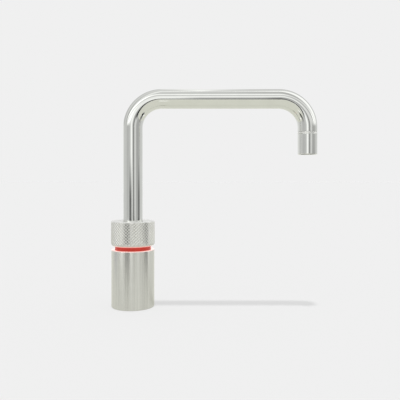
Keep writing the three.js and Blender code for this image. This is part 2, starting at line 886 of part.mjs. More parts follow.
function addCable( group ) {

	const cableEnd = glandBottom + fitGap;
	const crossing = cableOuterRun - cableInnerRun - 2 * cableBendRadius;
	const route = new BentRoute(
		new THREE.Vector3( 0, cableOuterRun, deckTop ),
		new THREE.Vector3( 0, 0, -1 ),
		new THREE.Vector3( 1, 0, 0 ),
		cableBendSteps,
		[
			{ length: deckTop - cableWindowLevel - cableBendRadius },
			{ radius: cableBendRadius, turn: -quarterTurn },
			{ length: crossing },
			{ radius: cableBendRadius, turn: quarterTurn },
			{ length: cableWindowLevel - cableBendRadius - cableEnd },
		],
	);
	addPiece( group, 'control_cable', blackPlastic, sweptTube( route, cableRadius, 0, cordFacets ) );

	const cableHole = cableRadius + fitGap;
	const glandRadius = cableHole + glandWall;
	const plugOutline = [
		[ stemHole, plugFlangeBottom ],
		[ shankRadius, plugFlangeBottom ],
		[ shankRadius, plugFlangeTop ],
		[ plugBarrelRadius, plugFlangeTop ],
		[ plugBarrelRadius, plugTop ],
		[ stemHole, plugTop ],
	];
	const glandHole = rod( glandRadius + fitGap, plugFlangeBottom - fitGap, plugTop + fitGap, smallFacets );
	glandHole.translate( 0, cableInnerRun, 0 );
	addPiece( group, 'shank_plug', blackPlastic, cut( turned( plugOutline, innerFacets ), glandHole ) );

	const flangeBottom = plugTop + fitGap;
	const glandOutline = [
		[ cableHole, glandBottom ],
		[ glandRadius, glandBottom ],
		[ glandRadius, flangeBottom ],
		[ glandRadius + glandFlangeWidth, flangeBottom ],
		[ glandRadius + glandFlangeWidth, flangeBottom + glandFlangeThickness ],
		[ cableHole, flangeBottom + glandFlangeThickness ],
	];
	const gland = addPiece( group, 'cable_gland', blackRubber, turned( glandOutline, smallFacets ) );
	gland.position.y = cableInnerRun;

}

function addSpring( group ) {

	const bottom = deckTop + fitGap + springWire / 2;
	const top = carrierBottom - fitGap - springWire / 2;
	const route = new SpringRoute( springCentreRadius, springTurns, bottom, top );
	addPiece( group, 'return_spring', springSteel, sweptTube( route, springWire / 2, 0, wireFacets ) );

}

function addCarrier( group ) {

	const grooveRadius = carrierRadius - clipGrooveDepth;
	const outline = [
		[ carrierBore, carrierBottom ],
		[ carrierFlangeRadius, carrierBottom ],
		[ carrierFlangeRadius, carrierFlangeTop ],
		[ carrierRadius, carrierFlangeTop ],
		[ carrierRadius, hubClipBottom - fitGap ],
		[ grooveRadius, hubClipBottom - fitGap ],
		[ grooveRadius, hubClipTop + fitGap ],
		[ carrierRadius, hubClipTop + fitGap ],
		[ carrierRadius, carrierTop ],
		[ carrierBore, carrierTop ],
	];
	const keys = roundAxis( carrierKeyCount, () => block(
		[ columnRadius - carrierKeyDepth, -carrierKeyWidth / 2, carrierBottom ],
		[ carrierBore + fitGap, carrierKeyWidth / 2, carrierTop ],
	) );
	addPiece( group, 'push_carrier', whitePlastic, join( turned( outline, innerFacets ), ...keys ) );

	const clipRadius = knobShoulderRadius - 2 * fitGap;
	const clip = snapRing( grooveRadius + fitGap, clipRadius, clipThickness );
	addPiece( group, 'hub_clip', springSteel, clip ).position.z = hubClipBottom;

}

/**
 * The knob before it is hollowed: diamond pyramids on the wall and on the taper under it. Peaks
 * and valley crossings alternate on a lattice of half diamonds, and every lattice cell is split
 * along its valley line.
 */
function knurledBlank() {

	const taper = knobRadius - knobEdgeRadius;
	const wall = knobHeight - taper - knobRimHeight;
	const columns = 2 * Math.round( fullTurn * knobRadius / knurlPitch );
	const taperRows = 2 * Math.max( 1, Math.round( taper * Math.SQRT2 / knurlRise ) );
	const wallRows = 2 * Math.max( 1, Math.round( wall / knurlRise ) );
	const rows = [ { radius: knobEdgeRadius, level: knobBottom, knurled: false } ];
	for ( let row = 1; row < taperRows; row ++ ) {

		const share = row / taperRows;
		rows.push( { radius: knobEdgeRadius + taper * share, level: knobBottom + taper * share, knurled: true } );

	}

	for ( let row = 0; row <= wallRows; row ++ ) {

		rows.push( { radius: knobRadius, level: knobBottom + taper + wall * row / wallRows, knurled: true } );

	}

	rows.push( { radius: knobRadius, level: knobTop - knobRimChamfer, knurled: false } );
	rows.push( { radius: knobRadius - knobRimChamfer, level: knobTop, knurled: false } );

	const positions = [ 0, 0, knobBottom ];
	rows.forEach( ( { radius, level, knurled }, row ) => {

		for ( let column = 0; column < columns; column ++ ) {

			const angle = column * fullTurn / columns;
			const inValley = knurled && ( row + column ) % 2 === 1;
			const reach = inValley ? radius - knurlDepth : radius;
			positions.push( reach * Math.cos( angle ), reach * Math.sin( angle ), level );

		}

	} );
	positions.push( 0, 0, knobTop );

	const corner = ( row, column ) => 1 + row * columns + column % columns;
	const topCentre = 1 + rows.length * columns;
	const lastRow = rows.length - 1;
	const faces = [];
	for ( let column = 0; column < columns; column ++ ) {

		faces.push( 0, corner( 0, column + 1 ), corner( 0, column ) );
		faces.push( topCentre, corner( lastRow, column ), corner( lastRow, column + 1 ) );
		for ( let row = 0; row < lastRow; row ++ ) {

			const lowLeft = corner( row, column );
			const lowRight = corner( row, column + 1 );
			const highLeft = corner( row + 1, column );
			const highRight = corner( row + 1, column + 1 );
			if ( ( row + column ) % 2 === 1 ) {

				faces.push( lowLeft, lowRight, highRight, lowLeft, highRight, highLeft );

			} else {

				faces.push( lowLeft, lowRight, highLeft, lowRight, highRight, highLeft );

			}

		}

	}

	const geometry = new THREE.BufferGeometry();
	geometry.setAttribute( 'position', new THREE.Float32BufferAttribute( positions, 3 ) );
	geometry.setIndex( faces );
	return closeSurface( geometry );

}

function addKnob( group ) {

	const wiperRadius = bearingBore + wiperWidth;
	const wiperTop = knobRoof + wiperHeight - fitGap;
	const hollowOutline = [
		[ 0, knobBottom - fitGap ],
		[ knobBore, knobBottom - fitGap ],
		[ knobBore, hubTop + fitGap ],
		[ knobShoulderRadius, hubTop + fitGap ],
		[ knobShoulderRadius, knobRoof ],
		[ wiperRadius + fitGap, knobRoof ],
		[ wiperRadius + fitGap, wiperTop + fitGap ],
		[ bearingBore, wiperTop + fitGap ],
		[ bearingBore, knobTop + fitGap ],
		[ 0, knobTop + fitGap ],
	];
	const sleeve = cut( knurledBlank(), turned( hollowOutline, knobFacets ) );
	addPiece( group, 'knob_sleeve', satinSteel, sleeve );

	const hub = ring( hubBore, hubRadius, hubBottom, hubTop, knobFacets );
	addPiece( group, 'knob_hub', satinSteel, hub );

	const magnet = ring( magnetBore, magnetRadius, 0, magnetHeight, knobFacets );
	addPiece( group, 'magnet_ring', darkMagnet, magnet ).position.z = magnetBottom;

	const wiper = ring( bearingBore, wiperRadius, 0, wiperHeight, innerFacets );
	addPiece( group, 'knob_wiper', blackRubber, wiper ).position.z = wiperTop - wiperHeight;

}

/** The spout's centreline from a level on the riser to a level on the outlet. */
function spoutRoute( bottom, end ) {

	return new BentRoute(
		new THREE.Vector3( 0, 0, bottom ),
		new THREE.Vector3( 0, 0, 1 ),
		new THREE.Vector3( 0, 1, 0 ),
		spoutBendSteps,
		[
			{ length: armLevel - bendRadius - bottom },
			{ radius: bendRadius, turn: quarterTurn },
			{ length: spoutReach - 2 * bendRadius },
			{ radius: bendRadius, turn: quarterTurn },
			{ length: armLevel - bendRadius - end },
		],
	);

}

function addSpout( group ) {

	const tube = sweptTube( spoutRoute( tubeBottom, tubeEnd ), tubeRadius, tubeBore, tubeFacets );
	addPiece( group, 'spout_tube', polishedSteel, tube );

	const hotTube = sweptTube(
		spoutRoute( hotTubeBottom, hotTubeEnd ), hotTubeRadius, hotTubeRadius - hotTubeWall, cordFacets,
	);
	addPiece( group, 'hot_tube', satinSteel, hotTube );

	const hotTubeHole = hotTubeRadius + fitGap;
	const plugTopLevel = footCollarHeight + footPlugLength;
	const shoulderTop = stemSocketDepth + footShoulderHeight;
	const footOutline = [
		[ stemHole, 0 ],
		[ bearingRadius, 0 ],
		[ bearingRadius, footCollarHeight ],
		[ plugRadius, footCollarHeight ],
		[ plugRadius, plugTopLevel ],
		[ hotTubeHole, plugTopLevel ],
		[ hotTubeHole, shoulderTop ],
		[ hotTubeRadius - hotTubeWall, shoulderTop ],
		[ hotTubeRadius - hotTubeWall, stemSocketDepth ],
		[ stemHole, stemSocketDepth ],
	];
	addPiece( group, 'spout_foot', brass, turned( footOutline, innerFacets ) ).position.z = footBottom;

	const riserFrom = footBottom + plugTopLevel;
	const riserTo = armLevel - bendRadius;
	for ( let index = 0; index < spacersPerStraight; index ++ ) {

		const share = ( index + 1 ) / ( spacersPerStraight + 1 );
		const spacer = addPiece( group, `spout_spacer_${ index + 1 }`, whitePlastic, spacerSolid() );
		spacer.position.z = THREE.MathUtils.lerp( riserFrom, riserTo, share );

	}

	for ( let index = 0; index < spacersPerStraight; index ++ ) {

		const share = ( index + 1 ) / ( spacersPerStraight + 1 );
		const name = `spout_spacer_${ spacersPerStraight + index + 1 }`;
		const spacer = addPiece( group, name, whitePlastic, spacerSolid() );
		spacer.rotation.y = quarterTurn;
		spacer.position.set( THREE.MathUtils.lerp( bendRadius, spoutReach - bendRadius, share ), 0, armLevel );

	}

}

/** Lobed spacer that keeps the hot tube in the middle of the spout. */
function spacerSolid() {

	const hole = hotTubeRadius + fitGap;
	const waist = hole + spacerWaist;
	const outline = [];
	for ( let index = 0; index < lobeSteps; index ++ ) {

		const angle = index * fullTurn / lobeSteps;
		const lobe = ( 1 + Math.cos( spacerLobes * angle ) ) / 2;
		const radius = THREE.MathUtils.lerp( waist, plugRadius, lobe );
		outline.push( new THREE.Vector2( radius * Math.cos( angle ), radius * Math.sin( angle ) ) );

	}

	const section = new THREE.Shape( outline );
	const opening = new THREE.Path();
	opening.absarc( 0, 0, hole, 0, fullTurn );
	section.holes.push( opening );
	const options = { depth: spacerThickness, bevelEnabled: false, curveSegments: smallFacets / 2 };
	const geometry = new THREE.ExtrudeGeometry( section, options );
	geometry.translate( 0, 0, -spacerThickness / 2 );
	return closeSurface( geometry );

}

function addOutlet( group ) {

	const couplingBore = plugRadius - couplingWall;
	const couplingOutline = [
		[ couplingBore, -couplingSpigot ],
		[ plugRadius, -couplingSpigot ],
		[ plugRadius, 0 ],
		[ tubeRadius - jointRimInset, 0 ],
		[ tubeRadius - jointRimInset, jointRimHeight ],
		[ plugRadius, jointRimHeight ],
		[ plugRadius, jointRimHeight + couplingSpigot ],
		[ couplingBore, jointRimHeight + couplingSpigot ],
	];
	const coupling = addPiece( group, 'outlet_coupling', satinSteel, turned( couplingOutline, innerFacets ) );
	coupling.position.set( spoutReach, 0, jointRimBottom );

	const sleeveOutline = [
		[ tubeBore, 0 ],
		[ tubeRadius - outletEdgeChamfer, 0 ],
		[ tubeRadius, outletEdgeChamfer ],
		[ tubeRadius, outletSleeveLength ],
		[ tubeBore, outletSleeveLength ],
	];
	const sleeve = addPiece( group, 'outlet_sleeve', polishedSteel, turned( sleeveOutline, innerFacets ) );
	sleeve.position.set( spoutReach, 0, outletMouth );

	const hotTubeHole = hotTubeRadius + fitGap;
	const straightenerBore = straightenerDiameter / 2 + fitGap;
	const sealLevel = ( nozzleThroatTop + nozzleTop ) / 2;
	const sealOuter = hotTubeRadius + sealGap + outletSealThickness;
	const grooveHalf = outletSealThickness / 2 + sealGap;
	const nozzleOutline = [
		[ straightenerBore, nozzleBottom ],
		[ plugRadius, nozzleBottom ],
		[ plugRadius, nozzleTop ],
		[ hotTubeHole, nozzleTop ],
		[ hotTubeHole, sealLevel + grooveHalf ],
		[ sealOuter + sealGap, sealLevel + grooveHalf ],
		[ sealOuter + sealGap, sealLevel - grooveHalf ],
		[ hotTubeHole, sealLevel - grooveHalf ],
		[ hotTubeHole, nozzleThroatTop ],
		[ hotTubeRadius - hotTubeWall, nozzleThroatTop ],
		[ hotTubeRadius - hotTubeWall, nozzleThroatBottom ],
		[ straightenerBore, nozzleThroatBottom ],
	];
	const nozzle = addPiece( group, 'outlet_nozzle', blackPlastic, turned( nozzleOutline, innerFacets ) );
	nozzle.position.x = spoutReach;

	const half = outletSealThickness / 2;
	const seal = addPiece(
		group, 'outlet_seal', blackRubber, ring( hotTubeRadius + sealGap, sealOuter, -half, half, smallFacets ),
	);
	seal.position.set( spoutReach, 0, sealLevel );

	const straightener = addPiece( group, 'flow_straightener', whitePlastic, straightenerSolid() );
	straightener.position.set( spoutReach, 0, nozzleBottom );

}

/** Disc with one hole in the middle and others round it, which calms the flow. */
function straightenerSolid() {

	const disc = rod( straightenerDiameter / 2, 0, straightenerHeight, innerFacets );
	const hole = () => rod( straightenerHoleDiameter / 2, -fitGap, straightenerHeight + fitGap, cordFacets );
	const outerHoles = roundAxis( straightenerHoleCount, () => hole().translate( straightenerHolePitch, 0, 0 ) );
	return cut( disc, hole(), ...outerHoles );

}

const tap = new THREE.Group();
const fixedGroup = new THREE.Group();
const carrierGroup = new THREE.Group();
const knobGroup = new THREE.Group();
const spoutGroup = new THREE.Group();
tap.add( fixedGroup, carrierGroup, knobGroup, spoutGroup );

addBody( fixedGroup );
addColumn( fixedGroup );
addBearings( fixedGroup );
addLight( fixedGroup );
addInlet( fixedGroup );
addClamp( fixedGroup );
addCable( fixedGroup );
addSpring( fixedGroup );
addCarrier( carrierGroup );
addKnob( knobGroup );
addSpout( spoutGroup );
addOutlet( spoutGroup );

export default tap;
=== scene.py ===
"""Boiling water tap: straight body, lit ring, knurled push-and-turn knob and swan-neck spout.

Every piece stands where the frame has it. Lengths are in metres, angles in radians unless named
otherwise.
"""

import json
import math

import bpy
import numpy as np
from bpy.props import FloatProperty, FloatVectorProperty, IntProperty, PointerProperty
from bpy.types import Operator, Panel, PropertyGroup
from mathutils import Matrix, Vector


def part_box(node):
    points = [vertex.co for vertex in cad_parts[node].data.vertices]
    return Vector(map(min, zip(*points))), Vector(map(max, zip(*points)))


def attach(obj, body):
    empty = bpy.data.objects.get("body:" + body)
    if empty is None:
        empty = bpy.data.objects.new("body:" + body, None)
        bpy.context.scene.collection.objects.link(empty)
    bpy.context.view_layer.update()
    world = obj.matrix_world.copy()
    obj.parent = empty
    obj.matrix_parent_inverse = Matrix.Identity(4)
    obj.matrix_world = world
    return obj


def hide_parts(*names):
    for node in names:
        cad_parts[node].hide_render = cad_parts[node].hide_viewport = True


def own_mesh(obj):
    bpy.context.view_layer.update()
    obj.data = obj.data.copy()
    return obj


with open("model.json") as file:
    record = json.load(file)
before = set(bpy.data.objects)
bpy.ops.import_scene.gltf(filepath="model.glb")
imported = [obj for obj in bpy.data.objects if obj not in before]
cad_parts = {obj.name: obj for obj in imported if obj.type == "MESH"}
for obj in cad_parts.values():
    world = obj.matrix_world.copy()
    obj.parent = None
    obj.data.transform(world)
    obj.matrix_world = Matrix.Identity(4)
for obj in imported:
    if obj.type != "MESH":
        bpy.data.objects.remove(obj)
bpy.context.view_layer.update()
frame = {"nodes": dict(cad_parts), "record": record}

bl_info = {
    "name": "Boiling Water Tap",
    "version": (1, 0, 0),
    "blender": (4, 5, 0),
    "location": "View3D > Sidebar > Tap",
    "description": "Builds a boiling water tap round its mechanical frame",
    "category": "Add Mesh",
}

MM = 0.001
FULL_TURN = 2 * math.pi
TO_DEGREES = 180 / math.pi

EDGE = 0.15 * MM  # radius of an edge that is only deburred
SOFT_EDGE = 0.3 * MM  # radius of an edge that is moulded or broken
FULL_EDGE = 0.6 * MM  # radius of an edge that is round
EDGE_STEPS = 4
HOLD = 0.25 * MM  # length beside an edge that stays flat in shading
ARC_ROOM, HOLD_ROOM = 0.42, 0.46  # most that an edge's arc, and its hold, takes of a side
SHARP = math.radians(33)  # edges sharper than this stay sharp in shading
SAME = 0.02 * MM  # corners closer than this are one corner
CLEAR = EDGE / 10  # least room between a corner and a point that is added beside it
TINY = 1e-6  # least cosine that is divided by

FINE_ROUND = 120  # steps round a piece that shows
INNER_ROUND = 72  # steps round a piece inside
BEND_STEPS = 60  # steps along a bend of the spout
WIRE_SIDES, COIL_STEPS = 12, 48  # steps round the spring's wire and along each of its turns
HOLE_EDGE = 0.12 * MM  # radius of the edges of the straightener's holes
HOLE_STEPS = 8  # steps on each of a hole's arcs, four round an outer hole and six round the middle
FLANK = 1.25  # steepness of a thread's flanks: at 1 it would have no flats
PITCH_STEPS = 8  # steps along one pitch of a thread
CHAMFER = math.radians(30)  # lean of the chamfer at a hexagon's ends
FACE_SHARE = 0.96  # radius of a hexagon's turned face, as a share of half its flats
NUT_STOPS, ADAPTER_STOPS = 9, 7  # levels over a chamfer of the nut and of the adapter
CELLS = 6  # grid steps across one diamond of the knurl, each way
KNURL_RUNOUT = 1.2  # rows below the wall by which the knurl has faded out
KNURL_TOP = 0.75  # kept height of the diamonds' flats, where the plain rim has 1
RIM_GAP, RIM_STEP = 0.06 * MM, 0.1 * MM  # knurl to the plain rim, and the bevel at its start

NOISE_LOW, NOISE_HIGH = 0.3, 0.7  # range that noise mostly keeps to
CLOUDY, GRAINY = 2.0, 3.0  # detail of soft clouds and of fine marks
SWEEP = 60.0  # changes in a metre along turning marks
LAMPS, LAMP_SHARE = 6.0, 0.5  # lamps in the ring, and how much they tell beside its clouds
KNURL_TONES = ((0.05, 1.27), (0.55, 0.90), (0.84, 0.90), (0.98, 1.27))  # (height, share of colour)
KNURL_WEAR = 0.06  # height that fine grain adds or takes where the knurl's colour is chosen
KNURL_ROUGH = (0.34, 0.28)  # roughness at the bottom of the grooves and on the flats
KNURL_CLEAN = 0.6  # height from which the roughness is that of the flats


# Measures of the frame -----------------------------------------------------------------------

SLOTS = {row["node"]: row["material_slot"] for row in frame["record"]["subparts"]}
BODIES = {node: body for body, nodes in frame["record"]["behaviour"]["bodies"].items()
          for node in nodes}


def node_corners(node):
    """All corners of a frame node, one row each."""
    mesh = frame["nodes"][node].data
    corners = np.empty(len(mesh.vertices) * 3)
    mesh.vertices.foreach_get("co", corners)
    return corners.reshape(-1, 3)


def node_triangles(node):
    """Corners of every triangle of a frame node: triangle, corner, axis."""
    mesh = frame["nodes"][node].data
    mesh.calc_loop_triangles()
    index = np.empty(len(mesh.loop_triangles) * 3, np.int32)
    mesh.loop_triangles.foreach_get("vertices", index)
    return node_corners(node)[index].reshape(-1, 3, 3)


def node_radii(node, centre=(0.0, 0.0)):
    """Least and greatest distance of a node's corners from an upright axis."""
    distance = np.hypot(*(node_corners(node)[:, :2] - centre).T)
    return distance.min(), distance.max()


def node_levels(node):
    low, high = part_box(node)
    return low.z, high.z


def node_outline(node, centre=(0.0, 0.0)):
    """Outline of a turned frame node: its (radius, level) corners in order, material on the left.

    Of all triangle sides, those whose two ends lie in one upright half-plane through the axis
    are the outline's sides. They are chained end to end.
    """
    corner = node_triangles(node)
    x, y = corner[..., 0] - centre[0], corner[..., 1] - centre[1]
    flat = np.stack([np.hypot(x, y), corner[..., 2]], -1)
    first = corner[0, 0, :2] - centre
    across = (x * first[1] - y * first[0]) / math.hypot(*first)
    ahead = x * first[0] + y * first[1] > 0
    on_plane = (np.abs(across) < SAME / 4) & ahead
    sides = on_plane & np.roll(on_plane, -1, 1)
    place = np.rint(flat / (SAME / 2)).astype(int)
    links = {}
    for start, end in zip(map(tuple, place[sides]), map(tuple, np.roll(place, -1, 1)[sides])):
        links.setdefault(start, set()).add(end)
        links.setdefault(end, set()).add(start)
    here = min(links)
    chain, before = [here], None
    while True:
        onward = [corner for corner in links[here] if corner != before]
        if not onward or (len(chain) > 2 and chain[0] in onward):
            break
        before, here = here, onward[0]
        chain.append(here)
    outline = np.array(chain) * (SAME / 2)
    radius, level = outline.T
    area = (radius * np.roll(level, -1) - np.roll(radius, -1) * level).sum()
    return outline if area > 0 else outline[::-1]


_, (ARM_END, TUBE_RADIUS, ARM_TOP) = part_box("spout_tube")
OUTLET_X = ARM_END - TUBE_RADIUS
OUTLET_AXIS = (OUTLET_X, 0.0)


# Sizes, colours and studio values ------------------------------------------------------------


def length(name, description, default):
    return FloatProperty(name=name, description=description, default=default, min=0.0,
                         subtype="DISTANCE", unit="LENGTH")


def share(name, description, default, top=1.0):
    return FloatProperty(name=name, description=description, default=default, min=0.0, max=top)


def count(name, description, default, least, most):
    return IntProperty(name=name, description=description, default=default, min=least, max=most)


def colour(name, description, default):
    return FloatVectorProperty(name=name, description=description, default=default, size=3,
                               min=0.0, max=1.0, subtype="COLOR")


class TapBody(PropertyGroup):
    edge: length("Edge", "Radius of the body's upper and lower edges", 0.8 * MM)
    seal_edge: length("Seal edge", "Radius of the edges of the rubber seals", 0.5 * MM)
    groove: length("Groove", "Depth of the seal's groove in the base plate", 1.8 * MM)
    seal_gap: length("Seal gap", "Room round a seal in its groove", 0.1 * MM)


class TapKnob(PropertyGroup):
    around: count("Diamonds", "Knurl diamonds round the knob", 43, 12, 120)
    rows: count("Rows", "Rows of knurl diamonds on the wall", 7, 2, 20)
    depth: length("Knurl depth", "Depth of the knurl's grooves", 0.30 * MM)
    flat: share("Flats", "Share of each diamond that is left flat at its peak", 2 / 3)
    round: length("Round", "Radius of the round at the knob's lower edge", 3.68 * MM)
    crisp: FloatProperty(name="Crisp", description="Angle from which the knurl's edges stay sharp",
                         default=math.radians(12), min=0, max=math.pi, subtype="ANGLE")
    rim: length("Rim", "Plain rim above the knurl", 1.2 * MM)
    roof: length("Roof", "Thickness of the knob's top", 2.5 * MM)
    shoulder: length("Shoulder", "Step that the hub sits against", 0.9 * MM)
    gap: length("Gap", "Room round the pieces inside the knob", 0.3 * MM)
    rim_edge: length("Rim edge", "Radius of the knob's upper edge", 0.6 * MM)


class TapSpout(PropertyGroup):
    bend: length("Bend", "Centreline radius of both bends", 33.5 * MM)
    wall: length("Wall", "Wall of the tube", 1.2 * MM)
    edge: length("Edge", "Radius of the tube's ends", 0.2 * MM)
    hot_wall: length("Hot wall", "Wall of the hot tube", 1.0 * MM)
    sleeve_edge: length("Sleeve edge", "Radius of the outlet sleeve's ends", 0.45 * MM)
    rim_fill: length("Rim fill", "Part that the joint's rim fills of the room on each side of it",
                     0.25 * MM)
    hole_pitch: length("Hole pitch", "Straightener's middle hole to the holes round it", 3.9 * MM)
    hole: length("Hole", "Radius of the straightener's holes", 1.3 * MM)


class TapFixing(PropertyGroup):
    pitch: length("Shank pitch", "Pitch of the shank's thread", 1.5 * MM)
    thread_depth: length("Thread depth", "Depth of the shank's thread", 0.8 * MM)
    thread_end: length("Thread end", "Worktop's top face to the end of the thread", 4 * MM)
    nut_flats: length("Nut flats", "Width of the back nut across flats", 44 * MM)
    washer_radius: length("Washer radius", "Radius of both washers", 27.5 * MM)


class TapSpring(PropertyGroup):
    wire: length("Wire", "Thickness of the spring's wire", 1.2 * MM)
    turns: count("Turns", "Turns of the spring", 4, 1, 20)


class TapInlet(PropertyGroup):
    bore: length("Bore", "Radius of the water's way", 3 * MM)
    stem: length("Stem", "Radius of the stem", 5 * MM)
    collar_flats: length("Collar flats", "Width of the stem's collar across flats", 14 * MM)
    collar_level: length("Collar level", "Worktop to the underside of the stem's collar", 15.3 * MM)
    collar_height: length("Collar height", "Height of the stem's collar", 2.7 * MM)
    flats: length("Flats", "Width of the adapter's hexagon across flats", 19 * MM)
    hexagon_height: length("Hexagon height", "Height of the adapter's hexagon", 7 * MM)
    socket: length("Socket", "Radius of the adapter's socket", 5.3 * MM)
    socket_depth: length("Socket depth", "Depth of the adapter's socket", 5.3 * MM)
    thread: length("Thread", "Radius of the adapter's thread", 8.3 * MM)
    pitch: length("Pitch", "Pitch of the adapter's thread", 1.337 * MM)
    thread_depth: length("Thread depth", "Depth of the adapter's thread", 0.85 * MM)


class TapFinish(PropertyGroup):
    steel: colour("Steel", "Satin steel of the body", (0.67, 0.672, 0.66))
    knurl: colour("Knurl", "Satin steel of the knob", (0.71, 0.712, 0.69))
    polished: colour("Polished steel", "Steel of the spout", (0.72, 0.73, 0.70))
    joint: colour("Joint steel", "Bright rim of the joint above the outlet", (0.93, 0.93, 0.91))
    inner: colour("Inner steel", "Machined steel inside", (0.60, 0.60, 0.58))
    spring: colour("Spring steel", "Clips and spring", (0.46, 0.46, 0.45))
    brass: colour("Brass", "Column, shank, nut and inlet", (0.62, 0.47, 0.24))
    glow: colour("Glow", "Light of the ring", (0.416, 0.034, 0.022))
    # Painted glow: the ring's light on the steel above and below it is painted as emission on the
    # steel
    painted_halo: colour("Halo", "Light of the ring on the steel above it", (0.85, 0.45, 0.40))
    painted_halo_below: share("Halo below", "Share of that light on the steel below the ring", 0.68)
    painted_halo_reach: length("Halo reach", "Height of steel that the ring lights", 1.2 * MM)
    dark: colour("Dark plastic", "Bearings, nozzle and plug", (0.024, 0.024, 0.026))
    pale: colour("Pale plastic", "Carrier, spacers and straightener", (0.80, 0.79, 0.75))
    rubber: colour("Rubber", "Seals and washers", (0.018, 0.018, 0.018))
    board: colour("Board", "Circuit board", (0.015, 0.10, 0.04))
    lens: colour("Lens", "Lens of the lamps", (0.85, 0.80, 0.62))
    magnet: colour("Magnet", "Magnet ring", (0.045, 0.047, 0.05))


class TapStage(PropertyGroup):
    backdrop: share("Backdrop", "Level of the plain backdrop and of the floor", 0.871)
    ambient: share("Ambient", "Level of the soft light from all sides", 0.66, 2.0)
    lamp: share("Lamp", "Strength of the overhead lamp", 1.95, 5.0)
    lamp_size: share("Lamp size", "Degrees that the lamp spans", 3.0, 30.0)
    lamp_tilt: share("Lamp tilt", "Degrees that the lamp leans toward the camera", 3.3, 30.0)
    floor: share("Floor", "Reflectance of the floor", 0.25)
    floor_in_metal: colour("Floor in metal", "Tint of the reflected floor", (0.945, 0.945, 0.80))
    floor_reach: length("Floor reach", "Radius of the floor that shows in reflections", 0.97)
    card_distance: length("Card distance", "Tap to the cards beside the camera", 0.29)
    card_step: length("Card step", "Every card stands this much nearer than the last", 1 * MM)
    lens: FloatProperty(name="Lens", description="Focal length", default=45.0, unit="CAMERA")
    camera_x: FloatProperty(name="Camera X", description="Camera to the right of the body",
                            default=0.0780, unit="LENGTH")
    camera_back: length("Camera distance", "Camera in front of the spout's plane", 0.582)
    camera_height: length("Camera height", "Camera above the floor", 0.14635)
    shift: FloatProperty(name="Shift", description="Vertical shift of the view", default=-0.05)


# Surfaces ------------------------------------------------------------------------------------


def rounded(corners, radius=EDGE):
    """Closed outline whose corners become arcs.

    With a and b the directions to the corners before and after, and h half the angle between
    them, an arc of radius r touches both sides at r / tan h from the corner. Its centre lies at
    r / sin h along a + b. The arc runs from one touching point to the other, and a point a
    little beyond each end keeps the sides flat in shading.
    """
    corner = np.asarray(corners, float)
    before = np.roll(corner, 1, 0) - corner
    after = np.roll(corner, -1, 0) - corner
    before_length = np.linalg.norm(before, axis=1)
    after_length = np.linalg.norm(after, axis=1)
    a = before / before_length[:, None]
    b = after / after_length[:, None]
    half = np.arccos(np.clip((a * b).sum(1), -1, 1)) / 2
    touch = np.minimum(radius / np.tan(half), ARC_ROOM * np.minimum(before_length, after_length))
    middle = (a + b) / np.linalg.norm(a + b, axis=1)[:, None]
    centre = corner + middle * (touch * np.tan(half) / np.sin(half))[:, None]
    first = corner + a * touch[:, None] - centre
    last = corner + b * touch[:, None] - centre
    sweep = (math.pi - 2 * half)[:, None]
    part = np.linspace(0, 1, EDGE_STEPS + 1)[None, :]
    from_first = np.sin((1 - part) * sweep) / np.sin(sweep)
    from_last = np.sin(part * sweep) / np.sin(sweep)
    arc = (centre[:, None] + first[:, None] * from_first[..., None]
           + last[:, None] * from_last[..., None])
    lead = corner + a * np.minimum(touch + HOLD, HOLD_ROOM * before_length)[:, None]
    tail = corner + b * np.minimum(touch + HOLD, HOLD_ROOM * after_length)[:, None]
    return np.concatenate([lead[:, None], arc, tail[:, None]], 1).reshape(-1, 2)


def with_stops(outline, stops):
    """Outline with a point wherever one of its sides passes one of the given levels."""
    pieces = []
    for start, end in zip(outline, np.roll(outline, -1, 0)):
        low, high = sorted((start[1], end[1]))
        between = stops[(stops > low + CLEAR) & (stops < high - CLEAR)]
        if end[1] < start[1]:
            between = between[::-1]
        part = (between - start[1]) / (end[1] - start[1]) if len(between) else between
        pieces += [start[None, :], start + part[:, None] * (end - start)]
    return np.concatenate(pieces)


def grid_faces(rows, columns, closed_rows=True):
    """Quads of a grid that closes on itself sideways and, if asked, lengthways."""
    last = rows if closed_rows else rows - 1
    row, column = np.meshgrid(np.arange(last), np.arange(columns), indexing="ij")
    next_row, next_column = (row + 1) % rows, (column + 1) % columns
    corners = [row * columns + column, row * columns + next_column,
               next_row * columns + next_column, next_row * columns + column]
    return np.stack(corners, -1).reshape(-1, 4)


def upright(centre=(0.0, 0.0)):
    """Straight route up an axis: at distance s it is at the centre and at level s."""

    def route(distance):
        place = np.stack(np.broadcast_arrays(*centre, distance), -1)
        return place, np.array([[1.0, 0.0, 0.0]]), np.array([[0.0, 1.0, 0.0]])

    return route


